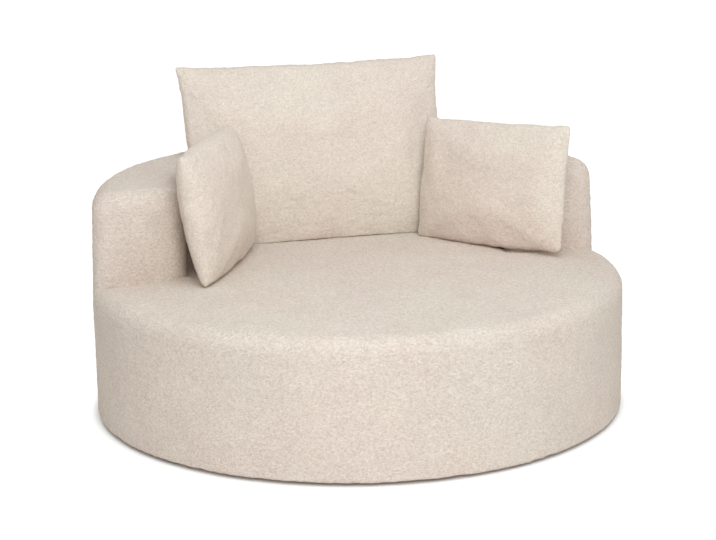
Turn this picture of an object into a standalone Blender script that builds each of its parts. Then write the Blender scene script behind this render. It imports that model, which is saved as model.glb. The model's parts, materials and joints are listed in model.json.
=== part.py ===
"""A round sofa with a C-shaped back, one loose back cushion and two loose lumbar pillows.

The sofa is a drum with a horseshoe of arms and back standing on its rear half.
Inside are a ply and timber frame, woven elastic webbing, foam and bent hardboard
skins.  Units are metres, +Z is up, the sitter faces -Y, and the origin is on the
floor under the middle of the drum.
"""

from collections import namedtuple
from math import acos, asin, atan2, cos, pi, radians, sin, sqrt

import bmesh
import bpy
from mathutils import Euler, Matrix, Vector

# Driving sizes of the outside.
SOFA_RADIUS = 0.75
SEAT_HEIGHT = 0.40
SEAT_CROWN = 0.012
SEAT_EDGE_RADIUS = 0.045
BACK_HEIGHT = 0.65
BACK_THICKNESS = 0.15
ARM_WIDTH = 0.25
ARM_FRONT_Y = 0.03
ARM_OUTER_ROUND = 0.045
ARM_INNER_ROUND = 0.06
BACK_TOP_ROUND = 0.05
BACK_LEAN_IN = 0.012
HARD_CORNER = 0.0003
HEM_ROUND = 0.010
SEAM_DROP = 0.006

# Facets: the drum and the back share their angles, so nested skins stay parallel.
DRUM_SIDES = 60
STEP_ANGLE = 2 * pi / DRUM_SIDES
ROUND_STEPS = 4

# Layers of the upholstery.
CLOTH = 0.003
WRAP_FOAM = 0.012
BACK_FOAM = 0.030
HARDBOARD = 0.003
PLY = 0.018
END_PLY = 0.009
DUST_CLOTH = 0.001

# Clearances: two pieces that touch, and foam inside cloth.
TOUCH = 0.0003
SOFT = 0.0015

# Base of the drum.
GLIDE_HEIGHT = 0.012
GLIDE_RADIUS = 0.018
GLIDE_COUNT = 6
GLIDE_GAP = 0.007
NAIL_RADIUS = 0.002
NAIL_LENGTH = 0.013
HEM_WIDTH = 0.025
BASE_RING_WIDTH = 0.110
SEAT_RING_WIDTH = 0.130
POST_COUNT = 6
POST_SIDE = 0.045
POST_SET_IN = 0.008
SEAT_RING_UNDERSIDE = 0.200
RAIL_DEPTH = 0.045
RAIL_THICKNESS = 0.022
TIMBER_EDGE = 0.002

# Woven elastic webbing across the seat ring.
STRAP_COUNT = 5
STRAP_WIDTH = 0.070
STRAP_PITCH = 0.150
STRAP_THICKNESS = 0.0015
STRAP_LAP = 0.028
STRAP_RAMP = 0.018

# Frame of the back.
BACK_POST_COUNT = 7
BACK_POST_WIDTH = 0.045
BACK_POST_DEPTH = 0.035
BOLT_RADIUS = 0.004
BOLT_HEAD_RADIUS = 0.0075
BOLT_HEAD_HEIGHT = 0.005
BOLT_SHOW = 0.012
BOLT_SIDES = 12
DRILL_SIDES = 12
DRILL_TURN = 0.05
BOLT_ANGLES = (22, 66, 114, 158)

# Cushions: sizes are from ear to ear.
BACK_CUSHION_WIDTH = 0.820
BACK_CUSHION_HEIGHT = 0.567
BACK_CUSHION_THICKNESS = 0.190
BACK_CUSHION_STAND_OFF = 0.187
BACK_CUSHION_SINK = 0.030
BACK_CUSHION_TOP_HOLLOW = 0.010
BACK_CUSHION_WRAP = 0.050
BACK_CUSHION_ZIP = 0.480
PILLOW_WIDTH = 0.510
PILLOW_HEIGHT = 0.366
PILLOW_THICKNESS = 0.140
PILLOW_EAR_LIFT = 0.001
PILLOW_TOP_HOLLOW = 0.002
PILLOW_DROOP = 0.010
PILLOW_ZIP = 0.260
LEFT_PILLOW_FROM_ARM = 0.146
LEFT_PILLOW_BEHIND_ARM_FACE = 0.070
RIGHT_PILLOW_FROM_ARM = 0.068
RIGHT_PILLOW_BEHIND_ARM_FACE = 0.068

# How the cushions stand, in degrees, and the shapes of their outlines, as shares.
BACK_CUSHION_LEAN = 14.5
LEFT_PILLOW_POSE = (61.0, 8.5, -1.3)
RIGHT_PILLOW_POSE = (-54.5, 10.4, -1.7)
BACK_CUSHION_WAIST = 0.04
BACK_CUSHION_TAPER = 0.02
PILLOW_WAIST = 0.01

# Crown of a cushion, as powers and shares of its half thickness.
CROWN_POWER = 0.40
THINNER_TOP = 0.12
BACK_FACE_SHARE = 0.70
DENT_STEP = 0.001
DENT_STEPS = 80
DENT_GAP = 0.012
ZIP_HALF_WIDTH = 0.004
CUSHION_COLUMNS = 14
CUSHION_ROWS = 10

# A layer of a cushion: how far its edge and its face stand in, its height over the
# seat where it is flattened, and how far it sags towards the seat.
Layer = namedtuple("Layer", "edge face level sag")
OUTSIDE = Layer(0.0, 0.0, 0.0, 0.0)
INSIDE = Layer(0.006, CLOTH, CLOTH, 0.0)
FILLING = Layer(0.036, CLOTH + 0.013, CLOTH + 3 * TOUCH, 0.024)

# Heights that follow from the sizes above.
BASE_TOP = GLIDE_HEIGHT + PLY
SEAT_RING_TOP = SEAT_RING_UNDERSIDE + PLY
STRAP_BOTTOM = SEAT_RING_TOP + TOUCH
STRAP_RISE = STRAP_THICKNESS + TOUCH
FOAM_BOTTOM = STRAP_BOTTOM + STRAP_THICKNESS + STRAP_RISE + TOUCH
EDGE_FOOT = SEAT_HEIGHT - SEAT_CROWN - SEAT_EDGE_RADIUS
SEAM_HEIGHT = EDGE_FOOT - SEAM_DROP
BACK_RAIL_BOTTOM = STRAP_BOTTOM + STRAP_THICKNESS + TOUCH

# Radii under the drum: the hem, the glides and the dust cover, from the outside in.
HEM_RADIUS = SOFA_RADIUS - HEM_ROUND - HEM_WIDTH
GLIDE_RING = HEM_RADIUS - GLIDE_GAP - GLIDE_RADIUS
DUST_RADIUS = GLIDE_RING - GLIDE_RADIUS - GLIDE_GAP

# Radii and insets of the layers, from the outside in.
FOAM_INSET = CLOTH + SOFT
WRAP_INSET = CLOTH + TOUCH
PANEL_INSET = WRAP_INSET + WRAP_FOAM + TOUCH
FRAME_INSET = PANEL_INSET + HARDBOARD + TOUCH
FRAME_RADIUS = SOFA_RADIUS - FRAME_INSET
BACK_PANEL_INSET = FOAM_INSET + BACK_FOAM + TOUCH
BACK_RAIL_INSET = BACK_PANEL_INSET + HARDBOARD + TOUCH
BACK_FRAME_TOP = BACK_HEIGHT - BACK_PANEL_INSET

# The inner wall of the back is a circle through the back's middle and the arms' tips.
WELL_BACK_Y = SOFA_RADIUS - BACK_THICKNESS
WELL_HALF_WIDTH = SOFA_RADIUS - ARM_WIDTH
WELL_CENTRE_Y = (WELL_BACK_Y ** 2 - WELL_HALF_WIDTH ** 2 - ARM_FRONT_Y ** 2) / (
    2 * (WELL_BACK_Y - ARM_FRONT_Y)
)
WELL_RADIUS = WELL_BACK_Y - WELL_CENTRE_Y

# One row per cushion: foot is where it stands on the seat, and a zip runs in its foot.
Cushion = namedtuple(
    "Cushion",
    "name width height thickness foot sink turn lean roll"
    " waist taper hollow droop wrap zip_length",
)
BACK_FOOT = (0.0, WELL_BACK_Y - BACK_CUSHION_STAND_OFF)
LEFT_FOOT = (
    LEFT_PILLOW_FROM_ARM - WELL_HALF_WIDTH, ARM_FRONT_Y + LEFT_PILLOW_BEHIND_ARM_FACE,
)
RIGHT_FOOT = (
    WELL_HALF_WIDTH - RIGHT_PILLOW_FROM_ARM, ARM_FRONT_Y + RIGHT_PILLOW_BEHIND_ARM_FACE,
)
CUSHIONS = (
    Cushion(
        "back_cushion", BACK_CUSHION_WIDTH, BACK_CUSHION_HEIGHT, BACK_CUSHION_THICKNESS,
        BACK_FOOT, BACK_CUSHION_SINK, 0.0, BACK_CUSHION_LEAN, 0.0,
        BACK_CUSHION_WAIST, BACK_CUSHION_TAPER, BACK_CUSHION_TOP_HOLLOW, 0.0,
        BACK_CUSHION_WRAP, BACK_CUSHION_ZIP,
    ),
    Cushion(
        "left_pillow", PILLOW_WIDTH, PILLOW_HEIGHT, PILLOW_THICKNESS,
        LEFT_FOOT, -PILLOW_EAR_LIFT, *LEFT_PILLOW_POSE,
        PILLOW_WAIST, 0.0, PILLOW_TOP_HOLLOW, PILLOW_DROOP, 0.0, PILLOW_ZIP,
    ),
    Cushion(
        "right_pillow", PILLOW_WIDTH, PILLOW_HEIGHT, PILLOW_THICKNESS,
        RIGHT_FOOT, -PILLOW_EAR_LIFT, *RIGHT_PILLOW_POSE,
        PILLOW_WAIST, 0.0, PILLOW_TOP_HOLLOW, PILLOW_DROOP, 0.0, PILLOW_ZIP,
    ),
)


def clear_scene():
    """Start from an empty scene."""
    for old in list(bpy.data.objects):
        bpy.data.objects.remove(old, do_unlink=True)


def material(name, colour, roughness, metallic=0.0):
    """A Principled material with one plain colour, written as sRGB."""
    made = bpy.data.materials.get(name)
    if made:
        return made
    made = bpy.data.materials.new(name)
    made.use_nodes = True
    shader = made.node_tree.nodes["Principled BSDF"]
    linear = [channel ** 2.2 for channel in colour]
    shader.inputs["Base Color"].default_value = (*linear, 1.0)
    shader.inputs["Roughness"].default_value = roughness
    shader.inputs["Metallic"].default_value = metallic
    made.diffuse_color = (*colour, 1.0)
    return made


def teddy_cloth():
    return material("teddy_cloth", (0.86, 0.80, 0.74), 0.95)


def cushion_cloth():
    return material("cushion_cloth", (0.87, 0.81, 0.75), 0.95)


def seat_foam_material():
    return material("foam", (0.93, 0.89, 0.72), 0.90)


def filling_material():
    return material("fibre_filling", (0.94, 0.94, 0.92), 0.95)


def plywood():
    return material("plywood", (0.80, 0.66, 0.46), 0.65)


def timber():
    return material("timber", (0.82, 0.70, 0.50), 0.70)


def hardboard():
    return material("hardboard", (0.50, 0.37, 0.24), 0.70)


def elastic():
    return material("elastic_webbing", (0.16, 0.15, 0.15), 0.80)


def black_felt():
    return material("dust_cloth", (0.06, 0.06, 0.06), 0.95)


def black_plastic():
    return material("glide_plastic", (0.08, 0.08, 0.08), 0.45)


def zinc_steel():
    return material("zinc_steel", (0.72, 0.73, 0.74), 0.35, 1.0)


def zip_plastic():
    return material("zip_nylon", (0.80, 0.75, 0.68), 0.60)


def new_object(name, bm, finish, smooth_angle=None):
    """Turn a bmesh into a named object with one material."""
    bmesh.ops.recalc_face_normals(bm, faces=bm.faces)
    closed = all(edge.is_manifold for edge in bm.edges)
    if closed and bm.calc_volume(signed=True) < 0:
        bmesh.ops.reverse_faces(bm, faces=bm.faces)
    mesh = bpy.data.meshes.new(name)
    bm.to_mesh(mesh)
    bm.free()
    mesh.materials.append(finish)
    if smooth_angle is not None:
        mesh.shade_smooth()
        mesh.set_sharp_from_angle(angle=radians(smooth_angle))
    made = bpy.data.objects.new(name, mesh)
    bpy.context.scene.collection.objects.link(made)
    return made


def hidden_cutter(name, bm):
    """A cutter that Boolean modifiers use and that is no part of the sofa."""
    cutter = new_object(name, bm, plywood())
    cutter.hide_render = True
    cutter.display_type = "WIRE"
    return cutter


def cut(target, cutter):
    """Take the cutter away from the target."""
    modifier = target.modifiers.new("cut_by_" + cutter.name, "BOOLEAN")
    modifier.operation = "DIFFERENCE"
    modifier.solver = "EXACT"
    modifier.object = cutter


def thicken_inward(target, thickness):
    """Give an open skin its wall, on the inside of the skin."""
    modifier = target.modifiers.new("wall", "SOLIDIFY")
    modifier.thickness = thickness
    modifier.offset = -1.0
    modifier.use_even_offset = True


def soften_edges(target, width):
    """Break the sharp edges of a timber or ply piece."""
    modifier = target.modifiers.new("broken_edges", "BEVEL")
    modifier.width = width
    modifier.segments = 1
    modifier.limit_method = "ANGLE"
    modifier.angle_limit = radians(60)


def quarter_round(radius, steps=ROUND_STEPS):
    """(across, up) points of a quarter circle that starts upright and ends level."""
    return [
        (radius * (1 - cos(pi / 2 * k / steps)), radius * sin(pi / 2 * k / steps))
        for k in range(steps + 1)
    ]


def spin_profile(profile, closed):
    """Spin (radius, height) points round the Z axis as one skin."""
    bm = bmesh.new()
    points = [bm.verts.new((radius, 0.0, height)) for radius, height in profile]
    pairs = list(zip(points, points[1:]))
    if closed:
        pairs.append((points[-1], points[0]))
    edges = [bm.edges.new(pair) for pair in pairs]
    bmesh.ops.spin(
        bm, geom=points + edges, axis=(0, 0, 1), cent=(0, 0, 0),
        angle=2 * pi, steps=DRUM_SIDES, use_merge=True,
    )
    bmesh.ops.remove_doubles(bm, verts=bm.verts, dist=1e-6)
    return bm


def ring(name, outer, inner, bottom, top, finish):
    """A flat ring or a tube, turned from a rectangle."""
    profile = [(outer, top), (outer, bottom), (inner, bottom), (inner, top)]
    return new_object(name, spin_profile(profile, True), finish, 40)


def drill(radius, bottom, top, centre):
    """A round cutter, turned so that no corner of it meets an edge of a ring."""
    bm = bmesh.new()
    turn = Matrix.Rotation(pi / DRILL_SIDES + DRILL_TURN, 4, "Z")
    place = Matrix.Translation((centre[0], centre[1], (bottom + top) / 2)) @ turn
    bmesh.ops.create_cone(
        bm, cap_ends=True, segments=DRILL_SIDES, radius1=radius, radius2=radius,
        depth=top - bottom, matrix=place,
    )
    return bm


def block(name, size, finish, edge=TIMBER_EDGE):
    """A squared piece of timber whose middle is its origin."""
    bm = bmesh.new()
    bmesh.ops.create_cube(bm, size=1.0, matrix=Matrix.Diagonal((*size, 1.0)))
    made = new_object(name, bm, finish)
    if edge:
        soften_edges(made, edge)
    return made


def on_circle(radius, angle):
    return Vector((radius * cos(angle), radius * sin(angle)))


def seat_surface(x, y):
    """Height of the seat cloth over a point of the seat's crowned middle."""
    reach = min(sqrt(x * x + y * y) / (SOFA_RADIUS - SEAT_EDGE_RADIUS), 1.0)
    return SEAT_HEIGHT - SEAT_CROWN * reach ** 2


# The drum.

def make_glides():
    """Nail-on plastic glides under the base ring, the only feet of the sofa."""
    profile = [
        (0.0, 0.0),
        (GLIDE_RADIUS * 0.8, 0.0),
        (GLIDE_RADIUS, GLIDE_HEIGHT * 0.35),
        (GLIDE_RADIUS * 0.95, GLIDE_HEIGHT - TOUCH),
        (NAIL_RADIUS, GLIDE_HEIGHT - TOUCH),
        (NAIL_RADIUS, GLIDE_HEIGHT + NAIL_LENGTH - NAIL_RADIUS),
        (0.0, GLIDE_HEIGHT + NAIL_LENGTH),
    ]
    for k in range(GLIDE_COUNT):
        bm = bmesh.new()
        points = [bm.verts.new((radius, 0.0, height)) for radius, height in profile]
        edges = [bm.edges.new(pair) for pair in zip(points, points[1:])]
        bmesh.ops.spin(
            bm, geom=points + edges, axis=(0, 0, 1), cent=(0, 0, 0),
            angle=2 * pi, steps=12, use_merge=True,
        )
        bmesh.ops.remove_doubles(bm, verts=bm.verts, dist=1e-6)
        glide = new_object(f"glide_{k + 1}", bm, black_plastic(), 40)
        place = on_circle(GLIDE_RING, glide_angle(k))
        glide.location = (place.x, place.y, 0.0)


def glide_angle(k):
    """Glides stand under the base posts; one pair is on the front-to-back line."""
    return 2 * pi * (k + 0.5) / GLIDE_COUNT


def make_base_ring():
    """The ply floor ring, drilled for the glides' nails."""
    made = ring("base_ring", FRAME_RADIUS, FRAME_RADIUS - BASE_RING_WIDTH,
                GLIDE_HEIGHT, BASE_TOP, plywood())
    for k in range(GLIDE_COUNT):
        place = on_circle(GLIDE_RING, glide_angle(k))
        hole = drill(NAIL_RADIUS + TOUCH, -PLY, BASE_TOP + PLY, place)
        cut(made, hidden_cutter(f"nail_hole_{k + 1}", hole))


def make_base_posts():
    """Timber posts that carry the seat ring over the base ring."""
    height = SEAT_RING_UNDERSIDE - BASE_TOP - 2 * TOUCH
    middle = FRAME_RADIUS - POST_SET_IN - POST_SIDE / 2
    for k in range(POST_COUNT):
        post = block(f"base_post_{k + 1}", (POST_SIDE, POST_SIDE, height), timber())
        place = on_circle(middle, glide_angle(k))
        post.location = (place.x, place.y, BASE_TOP + TOUCH + height / 2)
        post.rotation_euler = (0, 0, glide_angle(k))


def make_cross_rails():
    """Two rails across the base ring, halved into each other at the middle."""
    length = 2 * (FRAME_RADIUS - POST_SET_IN - POST_SIDE - 2 * TOUCH)
    middle = BASE_TOP + TOUCH + RAIL_DEPTH / 2
    notch = RAIL_THICKNESS + 2 * TOUCH
    for name, turn, side in (("cross_rail_side", 0.0, 1), ("cross_rail_front", pi / 2, -1)):
        rail = block(name, (length, RAIL_THICKNESS, RAIL_DEPTH), timber())
        rail.location = (0, 0, middle)
        rail.rotation_euler = (0, 0, turn)
        bm = bmesh.new()
        depth = RAIL_DEPTH + 2 * TOUCH
        lift = middle + side * (depth / 2 - TOUCH)
        bmesh.ops.create_cube(bm, size=1.0, matrix=Matrix.Translation((0, 0, lift))
                              @ Matrix.Rotation(turn, 4, "Z")
                              @ Matrix.Diagonal((notch, 2 * notch, depth, 1.0)))
        cut(rail, hidden_cutter(name + "_notch", bm))


def make_seat_ring():
    """The ply ring that the webbing and the back frame are fixed to."""
    made = ring("seat_ring", FRAME_RADIUS, FRAME_RADIUS - SEAT_RING_WIDTH,
                SEAT_RING_UNDERSIDE, SEAT_RING_TOP, plywood())
    for k, angle in enumerate(BOLT_ANGLES):
        hole = drill(BOLT_RADIUS + TOUCH, BASE_TOP, BACK_HEIGHT, bolt_place(angle))
        cut(made, hidden_cutter(f"seat_ring_hole_{k + 1}", hole))


def strap_path(own, half_length):
    """(along, level) points of a strap that weaves over and under the others."""
    offsets = strap_offsets()
    points = [(-half_length, 0)]
    for other, place in enumerate(offsets):
        level = (own + other) % 2
        reach = STRAP_WIDTH / 2 + TOUCH
        points.append((place - reach, level))
        points.append((place + reach, level))
    points.append((half_length, 0))
    spread = [points[0]]
    if points[1][1] != 0:
        spread.append((points[1][0] - STRAP_RAMP, 0))
    spread += points[1:-1]
    if points[-2][1] != 0:
        spread.append((points[-2][0] + STRAP_RAMP, 0))
    spread.append(points[-1])
    return spread


def strap_offsets():
    return [(k - (STRAP_COUNT - 1) / 2) * STRAP_PITCH for k in range(STRAP_COUNT)]


def make_webbing():
    """Elastic straps stapled to the seat ring, woven over and under each other."""
    opening = FRAME_RADIUS - SEAT_RING_WIDTH
    for family, turn in (("side_strap", 0.0), ("front_strap", pi / 2)):
        for own, offset in enumerate(strap_offsets()):
            half_length = sqrt((opening + STRAP_LAP) ** 2 - (abs(offset) + STRAP_WIDTH / 2) ** 2)
            # The two families start on opposite levels, so one is over where one is under.
            parity = own if turn == 0.0 else own + 1
            bm = bmesh.new()
            rows = []
            for along, level in strap_path(parity, half_length):
                low = STRAP_BOTTOM + level * STRAP_RISE
                row = []
                for across, high in ((-1, 0), (1, 0), (1, 1), (-1, 1)):
                    row.append(bm.verts.new((
                        along, across * STRAP_WIDTH / 2, low + high * STRAP_THICKNESS,
                    )))
                rows.append(row)
            for first, second in zip(rows, rows[1:]):
                for k in range(4):
                    bm.faces.new((first[k], second[k], second[(k + 1) % 4], first[(k + 1) % 4]))
            bm.faces.new(rows[0])
            bm.faces.new(rows[-1][::-1])
            strap = new_object(f"{family}_{own + 1}", bm, elastic())
            strap.rotation_euler = (0, 0, turn)
            strap.location = (0, offset, 0) if turn == 0.0 else (offset, 0, 0)


def make_side_skins():
    """The bent hardboard and the thin foam that give the drum its round side."""
    ring("side_panel", SOFA_RADIUS - PANEL_INSET, SOFA_RADIUS - PANEL_INSET - HARDBOARD,
         GLIDE_HEIGHT, SEAT_RING_TOP, hardboard())
    ring("side_foam", SOFA_RADIUS - WRAP_INSET, SOFA_RADIUS - WRAP_INSET - WRAP_FOAM,
         GLIDE_HEIGHT + HEM_ROUND, FOAM_BOTTOM - TOUCH, seat_foam_material())


def make_dust_cover():
    """Black cloth stapled under the base ring."""
    top = GLIDE_HEIGHT - TOUCH
    profile = [(0.0, top), (DUST_RADIUS, top), (DUST_RADIUS, top - DUST_CLOTH),
               (0.0, top - DUST_CLOTH)]
    new_object("dust_cover", spin_profile(profile, False), black_felt(), 40)


def make_side_cover():
    """The cloth band round the drum, turned under the base ring at the floor."""
    bottom = GLIDE_HEIGHT - TOUCH - CLOTH
    profile = [(HEM_RADIUS, bottom)]
    for across, up in reversed(quarter_round(HEM_ROUND, 2)):
        profile.append((SOFA_RADIUS - across, bottom + HEM_ROUND - up))
    profile.append((SOFA_RADIUS, SEAM_HEIGHT - TOUCH))
    made = new_object("side_cover", spin_profile(profile, False), teddy_cloth(), 40)
    thicken_inward(made, CLOTH)


def seat_profile(inset, bottom):
    """(radius, height) points up the seat's side, over its soft edge and to the middle."""
    profile = [(SOFA_RADIUS - inset, bottom)]
    corner = SEAT_EDGE_RADIUS - inset
    for across, up in quarter_round(corner, 5):
        profile.append((SOFA_RADIUS - inset - across, EDGE_FOOT + up))
    inner = SOFA_RADIUS - SEAT_EDGE_RADIUS
    for share in (0.62, 0.28, 0.0):
        profile.append((inner * share, seat_surface(inner * share, 0.0) - inset))
    return profile


def make_seat_foam(back_cutter):
    """The round seat block: crowned, soft-edged, and cut to fit inside the back."""
    profile = [(0.0, FOAM_BOTTOM)] + seat_profile(FOAM_INSET, FOAM_BOTTOM)
    made = new_object("seat_foam", spin_profile(profile, False), seat_foam_material(), 40)
    cut(made, back_cutter)


def make_seat_cover(back_cutter):
    """The seat cloth, from the seam below the soft edge to the foot of the back."""
    skin = spin_profile(seat_profile(0.0, SEAM_HEIGHT), False)
    made = new_object("seat_cover", skin, teddy_cloth(), 40)
    thicken_inward(made, CLOTH)
    cut(made, back_cutter)


# The back and arms.

def rounding(radius, depth):
    """How far a rounded edge stands back at a depth behind its face."""
    if depth >= radius:
        return 0.0
    return radius - sqrt(radius * radius - (radius - depth) ** 2)


def end_depths():
    """Depths behind the arm's end face at which its rounded edges get a section."""
    widest = max(ARM_OUTER_ROUND, ARM_INNER_ROUND)
    return [across for across, up in quarter_round(widest)]


def left_plan(inset, end_inset, soft):
    """Outer and inner plan points of the left arm, from its end face backwards."""
    outer_radius = SOFA_RADIUS - inset
    inner_radius = WELL_RADIUS + inset
    outer_round = ARM_OUTER_ROUND - inset if soft else 0.0
    inner_round = ARM_INNER_ROUND - inset if soft else 0.0
    stations = []
    for depth in end_depths():
        y = ARM_FRONT_Y + end_inset + depth
        outer_x = -sqrt(outer_radius ** 2 - y ** 2) + rounding(outer_round, depth)
        inner_x = -sqrt(inner_radius ** 2 - (y - WELL_CENTRE_Y) ** 2) - rounding(inner_round, depth)
        stations.append((Vector((outer_x, y)), Vector((inner_x, y)), depth))
    return stations


def first_arc_step():
    """The first drum angle behind the rounded ends of the arms."""
    zone = ARM_FRONT_Y + max(ARM_OUTER_ROUND, ARM_INNER_ROUND) + BACK_RAIL_INSET + END_PLY
    return int(asin(zone / SOFA_RADIUS) / STEP_ANGLE) + 1


def arc_plan(inset):
    """Outer and inner plan points round the back, from the left arm to the right."""
    first = first_arc_step()
    last = DRUM_SIDES // 2 - first
    start_y = SOFA_RADIUS * sin(first * STEP_ANGLE)
    inner_start = asin((start_y - WELL_CENTRE_Y) / WELL_RADIUS)
    stations = []
    for k in range(last, first - 1, -1):
        share = (k - first) / (last - first)
        inner_angle = inner_start + share * (pi - 2 * inner_start)
        outer = on_circle(SOFA_RADIUS - inset, k * STEP_ANGLE)
        inner = on_circle(WELL_RADIUS + inset, inner_angle) + Vector((0, WELL_CENTRE_Y))
        stations.append((outer, inner, 1.0))
    return stations


def back_plan(inset, end_inset, soft):
    """(outer, inner, depth) stations of the whole C, left arm to right arm."""
    left = left_plan(inset, end_inset, soft)
    right = [
        (Vector((-outer.x, outer.y)), Vector((-inner.x, inner.y)), depth)
        for outer, inner, depth in reversed(left)
    ]
    return left + arc_plan(inset) + right


def lean_in(height):
    """How far the back's outer wall leans in at a height, from nothing at the seam."""
    return BACK_LEAN_IN * max(height - SEAM_HEIGHT, 0.0) / (BACK_HEIGHT - SEAM_HEIGHT)


def hood_rows(bm, inset, top_round, bottom, soft):
    """Rows of points over the back's section: up outside, over the top, down inside."""
    rows = []
    for outer, inner, depth in back_plan(inset, inset, soft):
        top = BACK_HEIGHT - inset - rounding(top_round, depth)
        across = (inner - outer).normalized()
        points = []
        wall = [(0.0, bottom)] + [
            (step_in, top - top_round + up) for step_in, up in quarter_round(top_round)
        ]
        for step_in, height in wall:
            lean = lean_in(height) if soft else 0.0
            points.append((outer + across * (step_in + lean), height))
        for step_in, up in reversed(quarter_round(top_round)):
            points.append((inner - across * step_in, top - top_round + up))
        points.append((inner, bottom))
        rows.append([bm.verts.new((place.x, place.y, height)) for place, height in points])
    return rows


def skin_rows(bm, rows):
    """Faces between the rows and over the two end rows."""
    for first, second in zip(rows, rows[1:]):
        for k in range(len(first) - 1):
            bm.faces.new((first[k], first[k + 1], second[k + 1], second[k]))
    bm.faces.new(rows[0][::-1])
    bm.faces.new(rows[-1])


def back_hood(name, inset, thickness, bottom, soft_inside, finish):
    """A hood over the arms and back that is open underneath."""
    bm = bmesh.new()
    outer = hood_rows(bm, inset, BACK_TOP_ROUND - inset, bottom, True)
    inner_round = BACK_TOP_ROUND - inset - thickness if soft_inside else HARD_CORNER
    inner = hood_rows(bm, inset + thickness, inner_round, bottom, soft_inside)
    skin_rows(bm, outer)
    skin_rows(bm, inner)
    rim = []
    for rows in (outer, inner):
        loop = [row[0] for row in rows] + [row[-1] for row in reversed(rows)]
        rim.append(loop)
    for k in range(len(rim[0])):
        after = (k + 1) % len(rim[0])
        bm.faces.new((rim[0][k], rim[0][after], rim[1][after], rim[1][k]))
    return new_object(name, bm, finish, 40)


def plan_prism(stations, bottom, top):
    """A C-shaped plate between two heights, from plan stations."""
    bm = bmesh.new()
    outline = [outer for outer, inner, depth in stations]
    outline += [inner for outer, inner, depth in reversed(stations)]
    low = [bm.verts.new((point.x, point.y, bottom)) for point in outline]
    high = [bm.verts.new((point.x, point.y, top)) for point in outline]
    count = len(stations)
    total = len(outline)
    for k in range(total):
        after = (k + 1) % total
        bm.faces.new((low[k], low[after], high[after], high[k]))
    for k in range(count - 1):
        mate = total - 1 - k
        bm.faces.new((low[k], low[k + 1], low[mate - 1], low[mate])[::-1])
        bm.faces.new((high[k], high[k + 1], high[mate - 1], high[mate]))
    return bm


def make_back_cutter():
    """The space that the back stands in, cut out of the seat foam and the seat cloth."""
    plan = back_plan(-2 * TOUCH, -2 * TOUCH, True)
    return hidden_cutter("back_space", plan_prism(plan, BASE_TOP, SEAT_HEIGHT + BACK_HEIGHT))


def make_back_cover():
    """The cloth hood over the arms and back, open underneath."""
    back_hood("back_cover", 0.0, CLOTH, SEAM_HEIGHT + TOUCH, True, teddy_cloth())


def make_back_foam():
    """The foam hood under the back's cloth, open underneath over the frame."""
    back_hood("back_foam", FOAM_INSET, BACK_FOAM, FOAM_BOTTOM, False, seat_foam_material())


def rail_plan():
    end_inset = BACK_PANEL_INSET + END_PLY + TOUCH
    return back_plan(BACK_RAIL_INSET, end_inset, False)


def make_back_rails():
    """The C-shaped ply plates at the foot and the top of the back frame."""
    foot = new_object(
        "back_foot_rail",
        plan_prism(rail_plan(), BACK_RAIL_BOTTOM, BACK_RAIL_BOTTOM + PLY), plywood(),
    )
    for k, angle in enumerate(BOLT_ANGLES):
        hole = drill(BOLT_RADIUS + TOUCH, BASE_TOP, BACK_HEIGHT, bolt_place(angle))
        cut(foot, hidden_cutter(f"foot_rail_hole_{k + 1}", hole))
    new_object("back_top_rail", plan_prism(rail_plan(), BACK_FRAME_TOP - PLY, BACK_FRAME_TOP),
               plywood())


def back_middle(angle):
    """The point halfway through the back frame in a direction from the drum's axis."""
    direction = on_circle(1.0, angle)
    outer = direction * (SOFA_RADIUS - BACK_RAIL_INSET)
    along = direction.y * WELL_CENTRE_Y
    reach = WELL_RADIUS + BACK_RAIL_INSET
    inner = direction * (along + sqrt(along ** 2 - WELL_CENTRE_Y ** 2 + reach ** 2))
    return (outer + inner) / 2


def bolt_place(degrees):
    return back_middle(radians(degrees))


def make_back_posts():
    """Timber posts between the back's two plates."""
    bottom = BACK_RAIL_BOTTOM + PLY + TOUCH
    height = BACK_FRAME_TOP - PLY - TOUCH - bottom
    first = radians(12)
    for k in range(BACK_POST_COUNT):
        angle = first + (pi - 2 * first) * k / (BACK_POST_COUNT - 1)
        size = (BACK_POST_WIDTH, BACK_POST_DEPTH, height)
        post = block(f"back_post_{k + 1}", size, timber())
        place = back_middle(angle)
        post.location = (place.x, place.y, bottom + height / 2)
        post.rotation_euler = (0, 0, angle)


def wall_panel(name, inset, side):
    """Thin board bent round one side of the back frame."""
    end_inset = BACK_PANEL_INSET + END_PLY + TOUCH
    near = back_plan(inset, end_inset, False)
    far = back_plan(inset + HARDBOARD, end_inset, False)
    pairs = [(a[side], b[side], 1.0) for a, b in zip(near, far)]
    new_object(name, plan_prism(pairs, BACK_RAIL_BOTTOM, BACK_FRAME_TOP), hardboard(), 40)


def make_back_panels():
    """The boards that close the back frame: outside, inside and the two arm ends."""
    wall_panel("back_outer_panel", BACK_PANEL_INSET, 0)
    wall_panel("back_inner_panel", BACK_PANEL_INSET, 1)
    face_y = ARM_FRONT_Y + BACK_PANEL_INSET
    outer_x = sqrt((SOFA_RADIUS - BACK_PANEL_INSET) ** 2 - (face_y + END_PLY) ** 2)
    inner_x = sqrt((WELL_RADIUS + BACK_PANEL_INSET) ** 2 - (face_y - WELL_CENTRE_Y) ** 2)
    height = BACK_FRAME_TOP - BACK_RAIL_BOTTOM
    width = outer_x - inner_x - 2 * TOUCH
    for name, side in (("left_arm_end", -1), ("right_arm_end", 1)):
        board = block(name, (width, END_PLY, height), plywood(), None)
        board.location = (side * (outer_x + inner_x) / 2, face_y + END_PLY / 2,
                          BACK_RAIL_BOTTOM + height / 2)


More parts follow.
